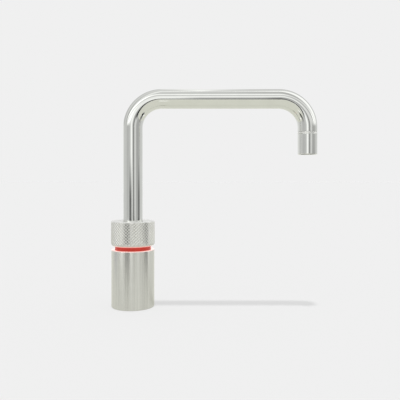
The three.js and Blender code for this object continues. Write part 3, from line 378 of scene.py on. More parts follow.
def bent(low, legs):
    """Route of straights and round bends in the plane y = 0, first heading up from level low.

    Every leg is (length, radius): a straight, or a quarter bend to the right where the radius
    isn't 0. On a bend the point goes round a centre at the radius to the right of the heading,
    by distance over radius.
    """
    starts, points, headings = [0.0], [np.array([0.0, low])], [0.0]
    for leg_length, radius in legs:
        forward = np.array([math.sin(headings[-1]), math.cos(headings[-1])])
        right = np.array([math.cos(headings[-1]), -math.sin(headings[-1])])
        starts.append(starts[-1] + (math.pi / 2 * radius if radius else leg_length))
        points.append(points[-1] + ((forward + right) * radius if radius else forward * leg_length))
        headings.append(headings[-1] + (math.pi / 2 if radius else 0.0))
    starts, points, headings = map(np.array, (starts, points, headings))
    radii = np.array([radius for _, radius in legs])

    def route(distance):
        leg = np.clip(np.searchsorted(starts, distance, "right") - 1, 0, len(radii) - 1)
        along, radius, heading = distance - starts[leg], radii[leg], headings[leg]
        bending = radius > 0
        turned = np.where(bending, along / np.where(bending, radius, 1), 0)
        forward = np.stack([np.sin(heading), np.cos(heading)], -1)
        right = np.stack([np.cos(heading), -np.sin(heading)], -1)
        ahead = np.where(bending, radius * np.sin(turned), along)
        aside = np.where(bending, radius * (1 - np.cos(turned)), 0)
        x, z = (points[leg] + forward * ahead[:, None] + right * aside[:, None]).T
        nothing, heading = np.zeros_like(along), heading + turned
        side = np.stack([np.cos(heading), nothing, -np.sin(heading)], -1)
        return np.stack([x, nothing, z], -1), side, np.array([[0.0, 1.0, 0.0]])

    route.starts = starts
    return route


def carried(outline, route, steps=INNER_ROUND, relief=None):
    """Closed outline of (radius, distance) carried round a route.

    The point for (radius r, distance s) and angle t is route(s) + r (cos t side + sin t up),
    where the relief, if any, gives a new r from r, s and t.
    """
    angle = np.arange(steps) * FULL_TURN / steps
    radius = np.repeat(outline[:, :1], steps, 1)
    if relief is not None:
        radius = relief(radius, outline[:, 1:], angle[None, :])
    place, side, up = route(outline[:, 1])
    ring = np.cos(angle)[None, :, None] * side[:, None] + np.sin(angle)[None, :, None] * up[:, None]
    points = place[:, None] + radius[..., None] * ring
    return points.reshape(-1, 3), grid_faces(len(outline), steps)


def coiled(radius, wire, turns, low, high):
    """Round wire wound on a screw line, with flat ends.

    At level z between low and high the wire's centre is at the radius and at the angle
    turns (z - low) / (high - low). Round it, for angle t, a point is half the wire times sin t
    farther out and half the wire times cos t higher. Each end is a fan of quads.
    """
    level = np.linspace(low, high, turns * COIL_STEPS + 1)[:, None]
    around = turns * FULL_TURN * (level - low) / (high - low)
    angle = np.arange(WIRE_SIDES) * FULL_TURN / WIRE_SIDES
    out = radius + wire / 2 * np.sin(angle)
    height = level + wire / 2 * np.cos(angle)
    points = np.stack([out * np.cos(around), out * np.sin(around), height], -1)
    end_x, end_y = radius * math.cos(around[-1, 0]), radius * math.sin(around[-1, 0])
    first, last_row = np.arange(0, WIRE_SIDES, 2), points.size // 3 - WIRE_SIDES
    middle = np.full_like(first, points.size // 3)
    second, third = first + 1, (first + 2) % WIRE_SIDES
    start = np.stack([middle, third, second, first], -1)
    end = np.stack([middle + 1, first + last_row, second + last_row, third + last_row], -1)
    faces = np.concatenate([grid_faces(len(level), WIRE_SIDES, False), start, end])
    middles = [(radius, 0.0, low), (end_x, end_y, high)]
    return np.concatenate([points.reshape(-1, 3), middles]), faces


def hexagon(flats):
    """Relief of a hexagon: no radius is more than half the flats over cos(angle - nearest flat)."""

    def relief(radius, level, angle):
        from_flat = np.mod(angle, FULL_TURN / 6) - FULL_TURN / 12
        return np.minimum(radius, flats / 2 / np.cos(from_flat))

    return relief


def chamfered(flats, low, high, steps):
    """Outer corners of a hexagon whose ends are chamfered by turning, and stops over the chamfers.

    The chamfer starts at a share of half the flats and reaches the hexagon's corners at its lean.
    """
    corner, face = flats / math.sqrt(3), FACE_SHARE * flats / 2
    chamfer = (corner - face) * math.tan(CHAMFER)
    ends = [np.linspace(low, low + chamfer, steps), np.linspace(high - chamfer, high, steps)]
    corners = [(face, low), (corner, low + chamfer), (corner, high - chamfer), (face, high)]
    return corners, np.concatenate(ends)


def threaded(crest, depth, pitch, low, high):
    """Relief of a screw thread between two levels.

    The place in a turn is level / pitch - angle / full turn. The groove is deepest in the middle
    of the turn and falls off evenly to both sides, with flats at root and crest. Over one pitch
    from each end it fades.
    """

    def relief(radius, level, angle):
        turn = level / pitch - angle / FULL_TURN
        plain = 1 - 2 * np.abs(turn - np.floor(turn) - 0.5)
        wave = np.clip(FLANK * plain - (FLANK - 1) / 2, 0, 1)
        fade = np.clip(np.minimum(level - low, high - level) / pitch, 0, 1)
        return np.where(radius > crest - depth / 2, radius - depth * wave * fade, radius)

    return relief


def thread_stops(pitch, low, high):
    """Evenly spaced levels at which a threaded outline gets a point."""
    return np.arange(low, high, pitch / PITCH_STEPS)


def pierced_disc(centre, radius, bottom, top, hole, pitch):
    """Disc with a hole in its middle and six round it.

    Round each hole lies a cell: the points nearer to its hole than to any other, inside the
    disc. In the direction t from the hole the cell ends at the least of d / 2 / cos(t - a), for
    each neighbour at distance d and direction a, and the disc's own edge at
    -c cos(t - b) + sqrt(R^2 - c^2 sin^2(t - b)), with c and b the hole's place from the middle.
    Each cell is a band from its hole over the top, down the disc's edge and back underneath.
    """
    sixth = FULL_TURN / 6
    way = np.arange(6) * sixth
    holes = pitch * np.stack([np.cos(way), np.sin(way)], -1)
    tip = sixth / 2
    to_tip = math.atan2(radius * math.sin(tip), radius * math.cos(tip) - pitch)
    to_side = math.pi - tip
    ends = [-to_tip, to_tip, to_side, FULL_TURN - to_side, FULL_TURN - to_tip]
    turn = np.concatenate([np.linspace(*span, HOLE_STEPS, endpoint=False)
                           for span in zip(ends, ends[1:])])
    halves = [pitch / 2 / np.maximum(np.cos(turn - a), TINY)
              for a in (math.pi, 2 * sixth, -2 * sixth)]
    rim = np.sqrt(radius ** 2 - (pitch * np.sin(turn)) ** 2) - pitch * np.cos(turn)
    reach = np.minimum.reduce([*halves, rim])
    middle_turn = (np.arange(6 * HOLE_STEPS) / HOLE_STEPS - 0.5) * sixth
    middle_reach = pitch / 2 / np.cos(np.mod(middle_turn + sixth / 2, sixth) - sixth / 2)
    parts, sides, start = [], [], 0
    cells = [(np.zeros(2), middle_turn, middle_reach, np.zeros(len(middle_turn), bool))]
    cells += [(place, turn + lean, reach, turn < to_tip) for place, lean in zip(holes, way)]
    for place, angle, end, open_side in cells:
        ring = np.stack([np.cos(angle), np.sin(angle)], -1)
        section = [(hole, top - HOLE_EDGE), (hole + HOLE_EDGE, top), (end, top), (end, bottom),
                   (hole + HOLE_EDGE, bottom), (hole, bottom + HOLE_EDGE)]
        rows = [np.column_stack([place + ring * np.reshape(out, (-1, 1)),
                                 np.full(len(angle), level)]) for out, level in section]
        faces = grid_faces(len(rows), len(angle)).reshape(len(rows), len(angle), 4)
        shown = np.ones((len(rows), len(angle)), bool)
        shown[2] = open_side
        parts.append(np.concatenate(rows))
        sides.append(faces[shown][:, ::-1] + start)
        start += len(parts[-1])
    points, faces = np.concatenate(parts), np.concatenate(sides)
    merged = np.unique(np.rint(points / (SAME / 4)), axis=0, return_index=True, return_inverse=True)
    points = points[merged[1]] + np.array([*centre, 0.0])
    return points, merged[2].reshape(-1)[faces]


# Finishes ------------------------------------------------------------------------------------


def add_node(tree, kind, inputs=None, **settings):
    """Shader node with its settings and inputs: a socket is linked, anything else is a value."""
    made = tree.nodes.new("ShaderNode" + kind)
    for setting, value in settings.items():
        setattr(made, setting, value)
    for socket, value in (inputs or {}).items():
        if isinstance(value, bpy.types.NodeSocket):
            tree.links.new(value, made.inputs[socket])
        else:
            made.inputs[socket].default_value = value
    return made


def math_node(tree, operation, *values):
    return add_node(tree, "Math", dict(enumerate(values)), operation=operation).outputs[0]


def times(tree, a, b):
    return math_node(tree, "MULTIPLY", a, b)


def blended(tree, a, b, part):
    """The part of a and the rest of b."""
    return math_node(tree, "ADD", times(tree, a, part), times(tree, b, 1 - part))


def axes(tree):
    """x, y and z of the point on the piece."""
    place = add_node(tree, "TexCoord").outputs["Object"]
    return add_node(tree, "SeparateXYZ", {0: place}).outputs


def noise(tree, vector, detail, roughness):
    return add_node(tree, "TexNoise", {"Vector": vector, "Scale": 1.0, "Detail": detail,
                                       "Roughness": roughness}).outputs["Fac"]


def turning_marks(tree, spacing=0.16 * MM):
    """Fine rings left by turning or brushing round an upright axis.

    Noise over (x, y, distance from the axis + height), stretched so that it changes over a
    fraction of a millimetre across the marks and over centimetres along them.
    """
    x, y, z = axes(tree)
    across = math_node(tree, "SQRT", math_node(tree, "ADD", times(tree, x, x), times(tree, y, y)))
    along = times(tree, math_node(tree, "ADD", across, z), 1 / spacing)
    swept = {0: times(tree, x, SWEEP), 1: times(tree, y, SWEEP), 2: along}
    return noise(tree, add_node(tree, "CombineXYZ", swept).outputs[0], GRAINY, 0.6)


def grain(tree, size, detail=GRAINY, stretch=(1.0, 1.0, 1.0)):
    """Even noise of the given size, stretched where asked."""
    place = add_node(tree, "TexCoord").outputs["Object"]
    scale = tuple(1 / size / along for along in stretch)
    scaled = add_node(tree, "Mapping", {"Vector": place, "Scale": scale})
    return noise(tree, scaled.outputs[0], detail, 0.55)


def spread(tree, factor, low, high, start=NOISE_LOW, end=NOISE_HIGH):
    """Factor between start and end, mapped to low and high."""
    return add_node(tree, "MapRange", {"Value": factor, "From Min": start, "From Max": end,
                                       "To Min": low, "To Max": high}).outputs[0]


def toned(rgb, factor=1.0):
    return tuple(min(1.0, channel * factor) for channel in rgb) + (1.0,)


def ramped(tree, factor, stops):
    """Colour for a factor, by straight lines between (position, colour) stops in rising order."""
    ramp = add_node(tree, "ValToRGB", {0: factor})
    elements = ramp.color_ramp.elements
    elements[0].position, elements[1].position = stops[0][0], stops[-1][0]
    for position, _ in stops[1:-1]:
        elements.new(position)
    for element, (_, rgba) in zip(elements, stops):
        element.color = rgba
    return ramp.outputs[0]


def two_tone(tree, factor, rgb, low, high):
    """The colour, a little darker where the factor is low and a little lighter where it is high."""
    return ramped(tree, factor, [(NOISE_LOW, toned(rgb, low)), (NOISE_HIGH, toned(rgb, high))])


def new_finish(name, rgb, constants):
    """New material, its tree and its shader with the given constants."""
    material = bpy.data.materials.new(name)
    material.use_nodes = True
    material.diffuse_color = toned(rgb)
    shader = material.node_tree.nodes["Principled BSDF"]
    for socket, value in constants.items():
        shader.inputs[socket].default_value = value
    return material, material.node_tree, shader


def feed(tree, shader, sources):
    for socket, source in sources.items():
        tree.links.new(source, shader.inputs[socket])


def raised(tree, height, depth, strength=1.0):
    inputs = {"Height": height, "Distance": depth, "Strength": strength}
    return add_node(tree, "Bump", inputs).outputs[0]


def brushing(tree):
    """Steel brushed round an upright axis: fine rings under streaks that run up and down."""
    marks = turning_marks(tree, 0.25 * MM)
    return blended(tree, grain(tree, 2.2 * MM, stretch=(1.0, 1.0, 80.0)), marks, 0.75), marks


def turning(tree):
    """Metal turned round an upright axis: fine rings over faint clouds."""
    marks = turning_marks(tree)
    return blended(tree, marks, grain(tree, 14 * MM, CLOUDY), 0.7), marks


def polishing(tree):
    """Polished metal: faint haze that drifts over centimetres, and hair-fine polishing marks."""
    return grain(tree, 18 * MM, CLOUDY), grain(tree, 0.25 * MM, stretch=(1.0, 1.0, 6.0))


def milling(tree):
    """Metal with straight cutter marks."""
    marks = grain(tree, 0.12 * MM, stretch=(30.0, 30.0, 1.0))
    return marks, marks


def moulding(size):
    """Moulded plastic or rubber: fine sparkle of the mould's texture and faint flow clouds."""

    def pattern(tree):
        fine = grain(tree, size)
        return blended(tree, fine, grain(tree, 9 * MM, CLOUDY), 0.5), fine

    return pattern


FINE, FINER, FINEST = 0.35 * MM, 0.2 * MM, 0.15 * MM  # textures of moulds
METAL = {"Metallic": 1.0}
BRUSHED = {"Metallic": 1.0, "Anisotropic": 0.8, "Anisotropic Rotation": 0.25}

# Finishes by slot: the colour's name, the pattern, shares of the colour and roughness where the
# pattern is low and where it is high, depth and strength of its marks, and shader constants
PATTERNED = {
    "satin_steel": ("steel", brushing, (0.88, 1.09), (0.28, 0.23), 0.001 * MM, 1.0, BRUSHED),
    "polished_steel": ("polished", polishing, (0.98, 1.02), (0.05, 0.075), 0.0004 * MM, 0.5, METAL),
    "joint_steel": ("joint", turning, (0.92, 1.05), (0.40, 0.30), 0.004 * MM, 1.0, METAL),
    "inner_steel": ("inner", turning, (0.92, 1.05), (0.42, 0.30), 0.004 * MM, 1.0, METAL),
    "spring_steel": ("spring", milling, (0.92, 1.05), (0.36, 0.24), 0.004 * MM, 1.0, METAL),
    "brass": ("brass", turning, (0.92, 1.05), (0.34, 0.22), 0.004 * MM, 1.0, METAL),
    "black_plastic": ("dark", moulding(FINE), (0.88, 1.12), (0.396, 0.504), 0.01 * MM, 1.0, {}),
    "white_plastic": ("pale", moulding(FINE), (0.96, 1.04), (0.44, 0.56), 0.01 * MM, 1.0, {}),
    "black_rubber": ("rubber", moulding(FINER), (0.88, 1.12), (0.704, 0.896), 0.02 * MM, 1.0, {}),
    "led_lens": ("lens", moulding(FINE), (0.95, 1.05), (0.176, 0.224), 0.002 * MM, 1.0, {}),
    "magnet": ("magnet", moulding(FINEST), (0.7, 1.3), (0.528, 0.672), 0.01 * MM, 1.0, {}),
}


def patterned(name, rgb, pattern, tones, rough, depth, strength, constants):
    """Finish whose colour and roughness follow a pattern, with its marks raised."""
    material, tree, shader = new_finish(name, rgb, constants)
    level, marks = pattern(tree)
    feed(tree, shader, {"Base Color": two_tone(tree, level, rgb, *tones),
                        "Roughness": spread(tree, level, *rough),
                        "Normal": raised(tree, marks, depth, strength)})
    if "Anisotropic" in constants:
        tangent = add_node(tree, "Tangent", direction_type="RADIAL", axis="Z")
        feed(tree, shader, {"Tangent": tangent.outputs[0]})
    return material


def knurled_metal(name, rgb):
    """Steel knurl: paler grooves, satin diamonds and a bright rim, by the mesh's kept height."""
    material, tree, shader = new_finish(name, rgb, METAL)
    height = add_node(tree, "Attribute", attribute_name="knurl_height").outputs["Fac"]
    fine = grain(tree, 0.4 * MM)
    worn = math_node(tree, "ADD", height, spread(tree, fine, -KNURL_WEAR, KNURL_WEAR))
    stops = [(kept, toned(rgb, tone)) for kept, tone in KNURL_TONES]
    rough = spread(tree, height, *KNURL_ROUGH, 0.0, KNURL_CLEAN)
    feed(tree, shader, {"Base Color": ramped(tree, worn, stops), "Roughness": rough,
                        "Normal": raised(tree, fine, 0.003 * MM)})
    return material


def lit_plastic(name, rgb):
    """Translucent ring lit from inside by lamps: a little brighter over each lamp."""
    constants = {"Roughness": 0.35, "Specular IOR Level": 0.3, "Emission Strength": 0.40}
    material, tree, shader = new_finish(name, rgb, constants)
    x, y, _ = axes(tree)
    lamps = math_node(tree, "COSINE", times(tree, math_node(tree, "ARCTAN2", y, x), LAMPS))
    cloud = grain(tree, 2.5 * MM, CLOUDY)
    light = math_node(tree, "ADD", times(tree, lamps, LAMP_SHARE), cloud)
    light = spread(tree, light, 0.0, 1.0, -0.3, 1.3)
    lit = ramped(tree, light, [(0.0, toned(rgb, 0.86)), (1.0, toned(rgb, 1.12))])
    feed(tree, shader, {"Emission Color": lit, "Base Color": two_tone(tree, cloud, rgb, 0.9, 1.05)})
    return material


def board_material(name, rgb):
    """Solder mask over copper tracks: a square pattern of lines a shade lighter and raised."""
    material, tree, shader = new_finish(name, rgb, {})
    place = add_node(tree, "TexCoord").outputs["Object"]
    tracks = add_node(tree, "TexBrick", {"Vector": place, "Scale": 1.0, "Color1": toned(rgb, 0.9),
                                         "Color2": toned(rgb, 1.1), "Mortar": toned(rgb, 1.9),
                                         "Mortar Size": 0.12 * MM, "Brick Width": 2.6 * MM,
                                         "Row Height": 1.1 * MM})
    feed(tree, shader, {"Base Color": tracks.outputs["Color"],
                        "Roughness": spread(tree, grain(tree, 0.6 * MM), 0.28, 0.42),
                        "Normal": raised(tree, tracks.outputs["Fac"], 0.02 * MM)})
    return material


def painted_ring_glow(material, edge, fade, rgb, strength):
    """Painted glow of the ring on the steel beside it, as emission: full at the edge's level, none
    where it fades.
    """
    tree = material.node_tree
    shader = tree.nodes["Principled BSDF"]
    shader.inputs["Emission Color"].default_value = toned(rgb)
    lit = spread(tree, axes(tree)[2], strength, 0.0, edge, fade)
    feed(tree, shader, {"Emission Strength": lit})


FINISHES = {}


def finishes():
    """All finishes of the tap, made once, by their slot in the record."""
    if FINISHES:
        return FINISHES
    tone = bpy.context.scene.tap_finish
    for name, (rgb, *look) in PATTERNED.items():
        FINISHES[name] = patterned(name, getattr(tone, rgb), *look)
    FINISHES["knurled_steel"] = knurled_metal("knurled_steel", tone.knurl)
    FINISHES["red_light"] = lit_plastic("red_light", tone.glow)
    FINISHES["board_green"] = board_material("board_green", tone.board)
    top, bottom = node_levels("body_shell")[1], node_levels("knob_sleeve")[0]
    # Painted glow of the ring, as emission on the body's top edge and on the knob's lower edge
    painted_ring_glow(FINISHES["satin_steel"], top, top - tone.painted_halo_reach, tone.painted_halo, tone.painted_halo_below)
    painted_ring_glow(FINISHES["knurled_steel"], bottom, bottom + tone.painted_halo_reach, tone.painted_halo, 1.0)
    return FINISHES


# Pieces --------------------------------------------------------------------------------------


def add_object(name, data):
    made = bpy.data.objects.new(name, data)
    bpy.context.scene.collection.objects.link(made)
    return made


def add_piece(node, shape, sharp=SHARP, finish=None):
    """New mesh piece in place of a frame node, with its place in its mesh.

    It has the node's body and slot, and the slot's finish unless another is named. All its
    faces have the same number of corners.
    """
    points, faces = shape
    name, slot = node + "_finished", SLOTS[node]
    mesh = bpy.data.meshes.new(name)
    mesh.vertices.add(len(points))
    mesh.vertices.foreach_set("co", np.ascontiguousarray(points, np.float32).ravel())
    mesh.loops.add(faces.size)
    mesh.loops.foreach_set("vertex_index", faces.ravel().astype(np.int32))
    mesh.polygons.add(len(faces))
    starts = np.arange(0, faces.size, faces.shape[1], dtype=np.int32)
    mesh.polygons.foreach_set("loop_start", starts)
    mesh.update(calc_edges=True)
    mesh.validate()
    mesh.shade_smooth()
    mesh.set_sharp_from_angle(angle=sharp)
    mesh.materials.append(finishes()[finish or slot])
    piece = add_object(name, mesh)
    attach(piece, BODIES[node])
    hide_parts(node)
    return piece


def add_turned(node, edge=EDGE, centre=(0.0, 0.0), steps=INNER_ROUND, corners=None, relief=None,
               stops=None, finish=None):
    """Turned piece in place of a frame node: the node's own outline unless corners are given."""
    outline = rounded(node_outline(node, centre) if corners is None else corners, edge)
    if stops is not None:
        outline = with_stops(outline, stops)
    return add_piece(node, carried(outline, upright(centre), steps, relief), finish=finish)


class TAP_OT_body(Operator):
    """Adds the body, its base plate and the seal under it"""

    bl_idname = "tap.add_body"
    bl_label = "Body"

    def execute(self, context):
        size = context.scene.tap_body
        add_turned("body_shell", size.edge, steps=FINE_ROUND)
        inner, outer = node_radii("base_seal")
        inner, outer = inner - size.seal_gap, outer + size.seal_gap
        bore, radius = node_radii("base_plate")
        bottom, top = node_levels("base_plate")
        groove = bottom + size.groove
        corners = [(bore, bottom), (inner, bottom), (inner, groove), (outer, groove),
                   (outer, bottom), (radius, bottom), (radius, top), (bore, top)]
        add_turned("base_plate", steps=FINE_ROUND, corners=corners)
        add_turned("base_seal", size.seal_edge, steps=FINE_ROUND)
        return {"FINISHED"}


class TAP_OT_light_ring(Operator):
    """Adds the lit ring between the body and the knob"""

    bl_idname = "tap.add_light_ring"
    bl_label = "Light Ring"

    def execute(self, context):
        add_turned("light_ring", steps=FINE_ROUND)
        return {"FINISHED"}


def from_ridge(place):
    """0 on the ridges, which lie at every half, and 1 in the grooves, at every whole place."""
    return 2 * np.abs(place - np.floor(place) - 0.5)


def knurl_shape(size, outline, row):
    """Outline carried round the knob with diamonds on it, and the height at every point.

    The place p between the grooves that lean one way is the column plus the row, and q between
    the others the column less the row. The height is 1 - max(|p|, |q|), each 0 on a ridge and
    1 in a groove, cut off for the flats and faded out below the wall. Each quad is cut along
    its groove. The row is nan where the outline is plain.
    """
    knurled = ~np.isnan(row)[:, None]
    fade = np.clip(KNURL_RUNOUT + np.nan_to_num(row), 0, 1)[:, None]
    column = np.arange(size.around * CELLS) / CELLS
    ridges = np.maximum(from_ridge(column + row[:, None]), from_ridge(column - row[:, None]))
    height = np.minimum(1 - ridges, 1 - size.flat) / (1 - size.flat)
    height = np.where(knurled, 1 - (1 - height) * fade, 1)

    def relief(old, level, angle):
        return old - (1 - height) * size.depth

    points, quads = carried(outline, upright(), len(column), relief)
    half = 0.5 / CELLS
    middle_row = ((row + np.roll(row, -1)) / 2)[:, None]
    rising = from_ridge(column + half + middle_row) > from_ridge(column + half - middle_row)
    rising = rising.reshape(-1, 1)
    first = np.where(rising, quads[:, [0, 1, 3]], quads[:, [0, 1, 2]])
    second = np.where(rising, quads[:, [1, 2, 3]], quads[:, [0, 2, 3]])
    return (points, np.concatenate([first, second])), np.where(knurled, KNURL_TOP * height, 1.0)


class TAP_OT_knob(Operator):
    """Adds the knurled knob and what turns with it"""

    bl_idname = "tap.add_knob"
    bl_label = "Knob"

    def execute(self, context):
        size = context.scene.tap_knob
        radius = node_radii("knob_sleeve")[1]
        bottom, top = node_levels("knob_sleeve")
        mouth, wiper = node_radii("knob_wiper")
        wiper, wiper_top = wiper + size.gap, node_levels("knob_wiper")[1] + size.gap
        bore, hub_top = node_radii("knob_hub")[1] + size.gap, node_levels("knob_hub")[1] + size.gap
        roof, shoulder = top - size.roof, bore - size.shoulder
        wall_start, wall_end = bottom + size.round, top - size.rim
        wall = wall_end - wall_start
        round_steps = round(size.round * math.pi / 2 / (wall / size.rows) * CELLS)
        round_part = np.linspace(0, 1, round_steps + 1)[1:-1]
        wall_part = np.linspace(0, 1, size.rows * CELLS + 1)
        turned = round_part * math.pi / 2
        round_corners = np.stack([radius - size.round * (1 - np.sin(turned)),
                                  wall_start - size.round * np.cos(turned)], -1)
        wall_corners = np.stack([np.full_like(wall_part, radius),
                                 wall_start + wall * wall_part], -1)
        rim_low = wall_end + RIM_GAP
        top_edge = rounded([(mouth, roof), (radius, roof), (radius, top), (mouth, top)],
                           size.rim_edge)
        inside = rounded([(mouth, top), (mouth, wiper_top), (wiper, wiper_top), (wiper, roof),
                          (shoulder, roof), (shoulder, hub_top), (bore, hub_top), (bore, bottom)])
        outline = np.concatenate([[[radius - size.round, bottom]], round_corners, wall_corners,
                                  [[radius - RIM_STEP, rim_low], [radius, rim_low + RIM_STEP]],
                                  top_edge.reshape(4, -1, 2)[2], inside])
        knurl_row = np.concatenate([round_steps / CELLS * (round_part - 1), size.rows * wall_part])
        row = np.full(len(outline), np.nan)
        row[1:1 + len(knurl_row)] = knurl_row
        shape, height = knurl_shape(size, outline, row)
        piece = add_piece("knob_sleeve", shape, size.crisp)
        attribute = piece.data.attributes.new("knurl_height", "FLOAT", "POINT")
        attribute.data.foreach_set("value", height.astype(np.float32).ravel())
        add_turned("knob_wiper", SOFT_EDGE, steps=FINE_ROUND)
        add_turned("knob_hub")
        add_turned("magnet_ring")
        return {"FINISHED"}


class TAP_OT_spout(Operator):
    """Adds the polished tube, the hot tube inside it and the foot that it turns on"""

    bl_idname = "tap.add_spout"
    bl_label = "Spout"

    def execute(self, context):
        size = context.scene.tap_spout
        arm = ARM_TOP - TUBE_RADIUS
        for node, wall, steps in (("spout_tube", size.wall, FINE_ROUND),
                                  ("hot_tube", size.hot_wall, INNER_ROUND // 2)):
            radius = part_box(node)[1].y
            corners = node_corners(node)
            start = corners[corners[:, 0] < radius][:, 2].min()
            end = corners[corners[:, 0] > OUTLET_X - radius][:, 2].min()
            route = bent(start, [(arm - size.bend - start, 0.0), (0.0, size.bend),
                                 (OUTLET_X - 2 * size.bend, 0.0), (0.0, size.bend),
                                 (arm - size.bend - end, 0.0)])
            far = route.starts[-1]
            bore = radius - wall
            outline = rounded([(bore, 0), (radius, 0), (radius, far), (bore, far)], size.edge)
            stops = [np.linspace(*route.starts[leg:leg + 2], BEND_STEPS + 1) for leg in (1, 3)]
            add_piece(node, carried(with_stops(outline, np.concatenate(stops)), route, steps))
        add_turned("spout_foot")
        return {"FINISHED"}


class TAP_OT_outlet(Operator):
    """Adds the joint's coupling, the outlet's sleeve, its nozzle and the flow straightener"""

    bl_idname = "tap.add_outlet"
    bl_label = "Outlet"

    def execute(self, context):
        size = context.scene.tap_spout
        corners = node_outline("outlet_coupling", OUTLET_AXIS)
        rim = corners[corners[:, 0] > corners[:, 0].max() - SAME]
        from_rim = corners[:, 1] - rim[:, 1].mean()
        beside_rim = np.abs(from_rim) < np.ptp(rim[:, 1])
        corners[:, 1] += np.where(beside_rim, np.sign(from_rim) * size.rim_fill, 0)
        add_turned("outlet_coupling", FULL_EDGE, OUTLET_AXIS, FINE_ROUND, corners,
                   finish="joint_steel")
        add_turned("outlet_sleeve", size.sleeve_edge, OUTLET_AXIS, FINE_ROUND)
        add_turned("outlet_nozzle", SOFT_EDGE, OUTLET_AXIS)
        add_turned("outlet_seal", FULL_EDGE, OUTLET_AXIS)
        radius = node_radii("flow_straightener", OUTLET_AXIS)[1]
        levels = node_levels("flow_straightener")
        add_piece("flow_straightener",
                  pierced_disc(OUTLET_AXIS, radius, *levels, size.hole, size.hole_pitch))
        return {"FINISHED"}


class TAP_OT_bearings(Operator):
    """Adds the bearings of the spout and the spacer between them"""

    bl_idname = "tap.add_bearings"
    bl_label = "Bearings"

    def execute(self, context):
        for node in ("thrust_washer", "lower_bearing", "bearing_spacer", "upper_bearing"):
            add_turned(node)
        return {"FINISHED"}


class TAP_OT_spring(Operator):
    """Adds the return spring, which shortens as the knob is pushed down"""

    bl_idname = "tap.add_spring"
    bl_label = "Spring"

    def execute(self, context):
        size = context.scene.tap_spring
        radius = node_radii("return_spring")[1] - size.wire / 2
        bottom, top = node_levels("return_spring")
        coil = coiled(radius, size.wire, size.turns, bottom + size.wire / 2, top - size.wire / 2)
        piece = add_piece("return_spring", coil)
        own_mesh(piece)
        return {"FINISHED"}


class TAP_OT_fixing(Operator):
    """Adds the threaded shank, its washers and nut, and the cable's gland"""

    bl_idname = "tap.add_fixing"
    bl_label = "Fixing"

    def execute(self, context):
        size = context.scene.tap_fixing
        low, high = node_levels("threaded_shank")[0], -size.thread_end
        outline = node_outline("threaded_shank")
        crest = outline[outline[:, 1] < low + EDGE][:, 0].max()
        add_turned("threaded_shank", steps=FINE_ROUND, stops=thread_stops(size.pitch, low, high),
                   relief=threaded(crest, size.thread_depth, size.pitch, low, high))
        for node, edge in (("rubber_washer", FULL_EDGE), ("clamp_washer", SOFT_EDGE)):
            corners = node_outline(node)
            corners[:, 0] = np.minimum(corners[:, 0], size.washer_radius)
            add_turned(node, edge, steps=FINE_ROUND, corners=corners)
        bottom, top = node_levels("back_nut")
        bore = node_outline("rubber_washer")[:, 0].min()
        outer, stops = chamfered(size.nut_flats, bottom, top, NUT_STOPS)
        add_turned("back_nut", steps=FINE_ROUND, corners=[(bore, bottom), *outer, (bore, top)],
                   relief=hexagon(size.nut_flats), stops=stops)
        cable_y = sum(corner.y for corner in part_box("cable_gland")) / 2
        add_turned("cable_gland", centre=(0.0, cable_y))
        return {"FINISHED"}


class TAP_OT_inlet(Operator):
    """Adds the water inlet: stem, its seals and the adapter for the hose"""

    bl_idname = "tap.add_inlet"
    bl_label = "Inlet"

    def execute(self, context):
        size, body = context.scene.tap_inlet, context.scene.tap_body
        bottom, top = node_levels("inlet_stem")
        stem, collar = size.stem, size.collar_flats / math.sqrt(3)
        low, high = size.collar_level, size.collar_level + size.collar_height
        corners = [(size.bore, bottom), (stem, bottom), (stem, low), (collar, low),
                   (collar, high), (stem, high)]
        for seal in ("stem_seal_1", "stem_seal_2"):
            add_turned(seal, body.seal_edge)
            low, high = node_levels(seal)
            low, high = low - body.seal_gap, high + body.seal_gap
            groove = node_radii(seal)[0] - body.seal_gap
            corners += [(stem, low), (groove, low), (groove, high), (stem, high)]
        corners += [(stem, top), (size.bore, top)]
        add_turned("inlet_stem", corners=corners, relief=hexagon(size.collar_flats))

        bottom, top = node_levels("inlet_adapter")
        shelf, seat = top - size.hexagon_height, top - size.socket_depth
        outer, stops = chamfered(size.flats, shelf, top, ADAPTER_STOPS)
        corners = [(size.bore, bottom), (size.thread, bottom), (size.thread, shelf), *outer,
                   (size.socket, top), (size.socket, seat), (size.bore, seat)]
        thread = threaded(size.thread, size.thread_depth, size.pitch, bottom, shelf - size.pitch)
        hexagonal = hexagon(size.flats)

        def relief(radius, level, angle):
            """Thread below the hexagon's shelf, hexagon above it."""
            return np.where(level < shelf - EDGE, thread(radius, level, angle),
                            hexagonal(radius, level, angle))

        stops = np.sort(np.concatenate([thread_stops(size.pitch, bottom, shelf), stops]))
        add_turned("inlet_adapter", corners=corners, relief=relief, stops=stops)
        return {"FINISHED"}


class TAP_OT_inner(Operator):
    """Gives every piece that keeps its frame shape its finish"""

    bl_idname = "tap.finish_inner"
    bl_label = "Inner Pieces"

    def execute(self, context):
        for name, node in frame["nodes"].items():
            if not node.hide_render:
                node.data.materials.clear()
                node.data.materials.append(finishes()[SLOTS[name]])
        return {"FINISHED"}


# Stage ---------------------------------------------------------------------------------------

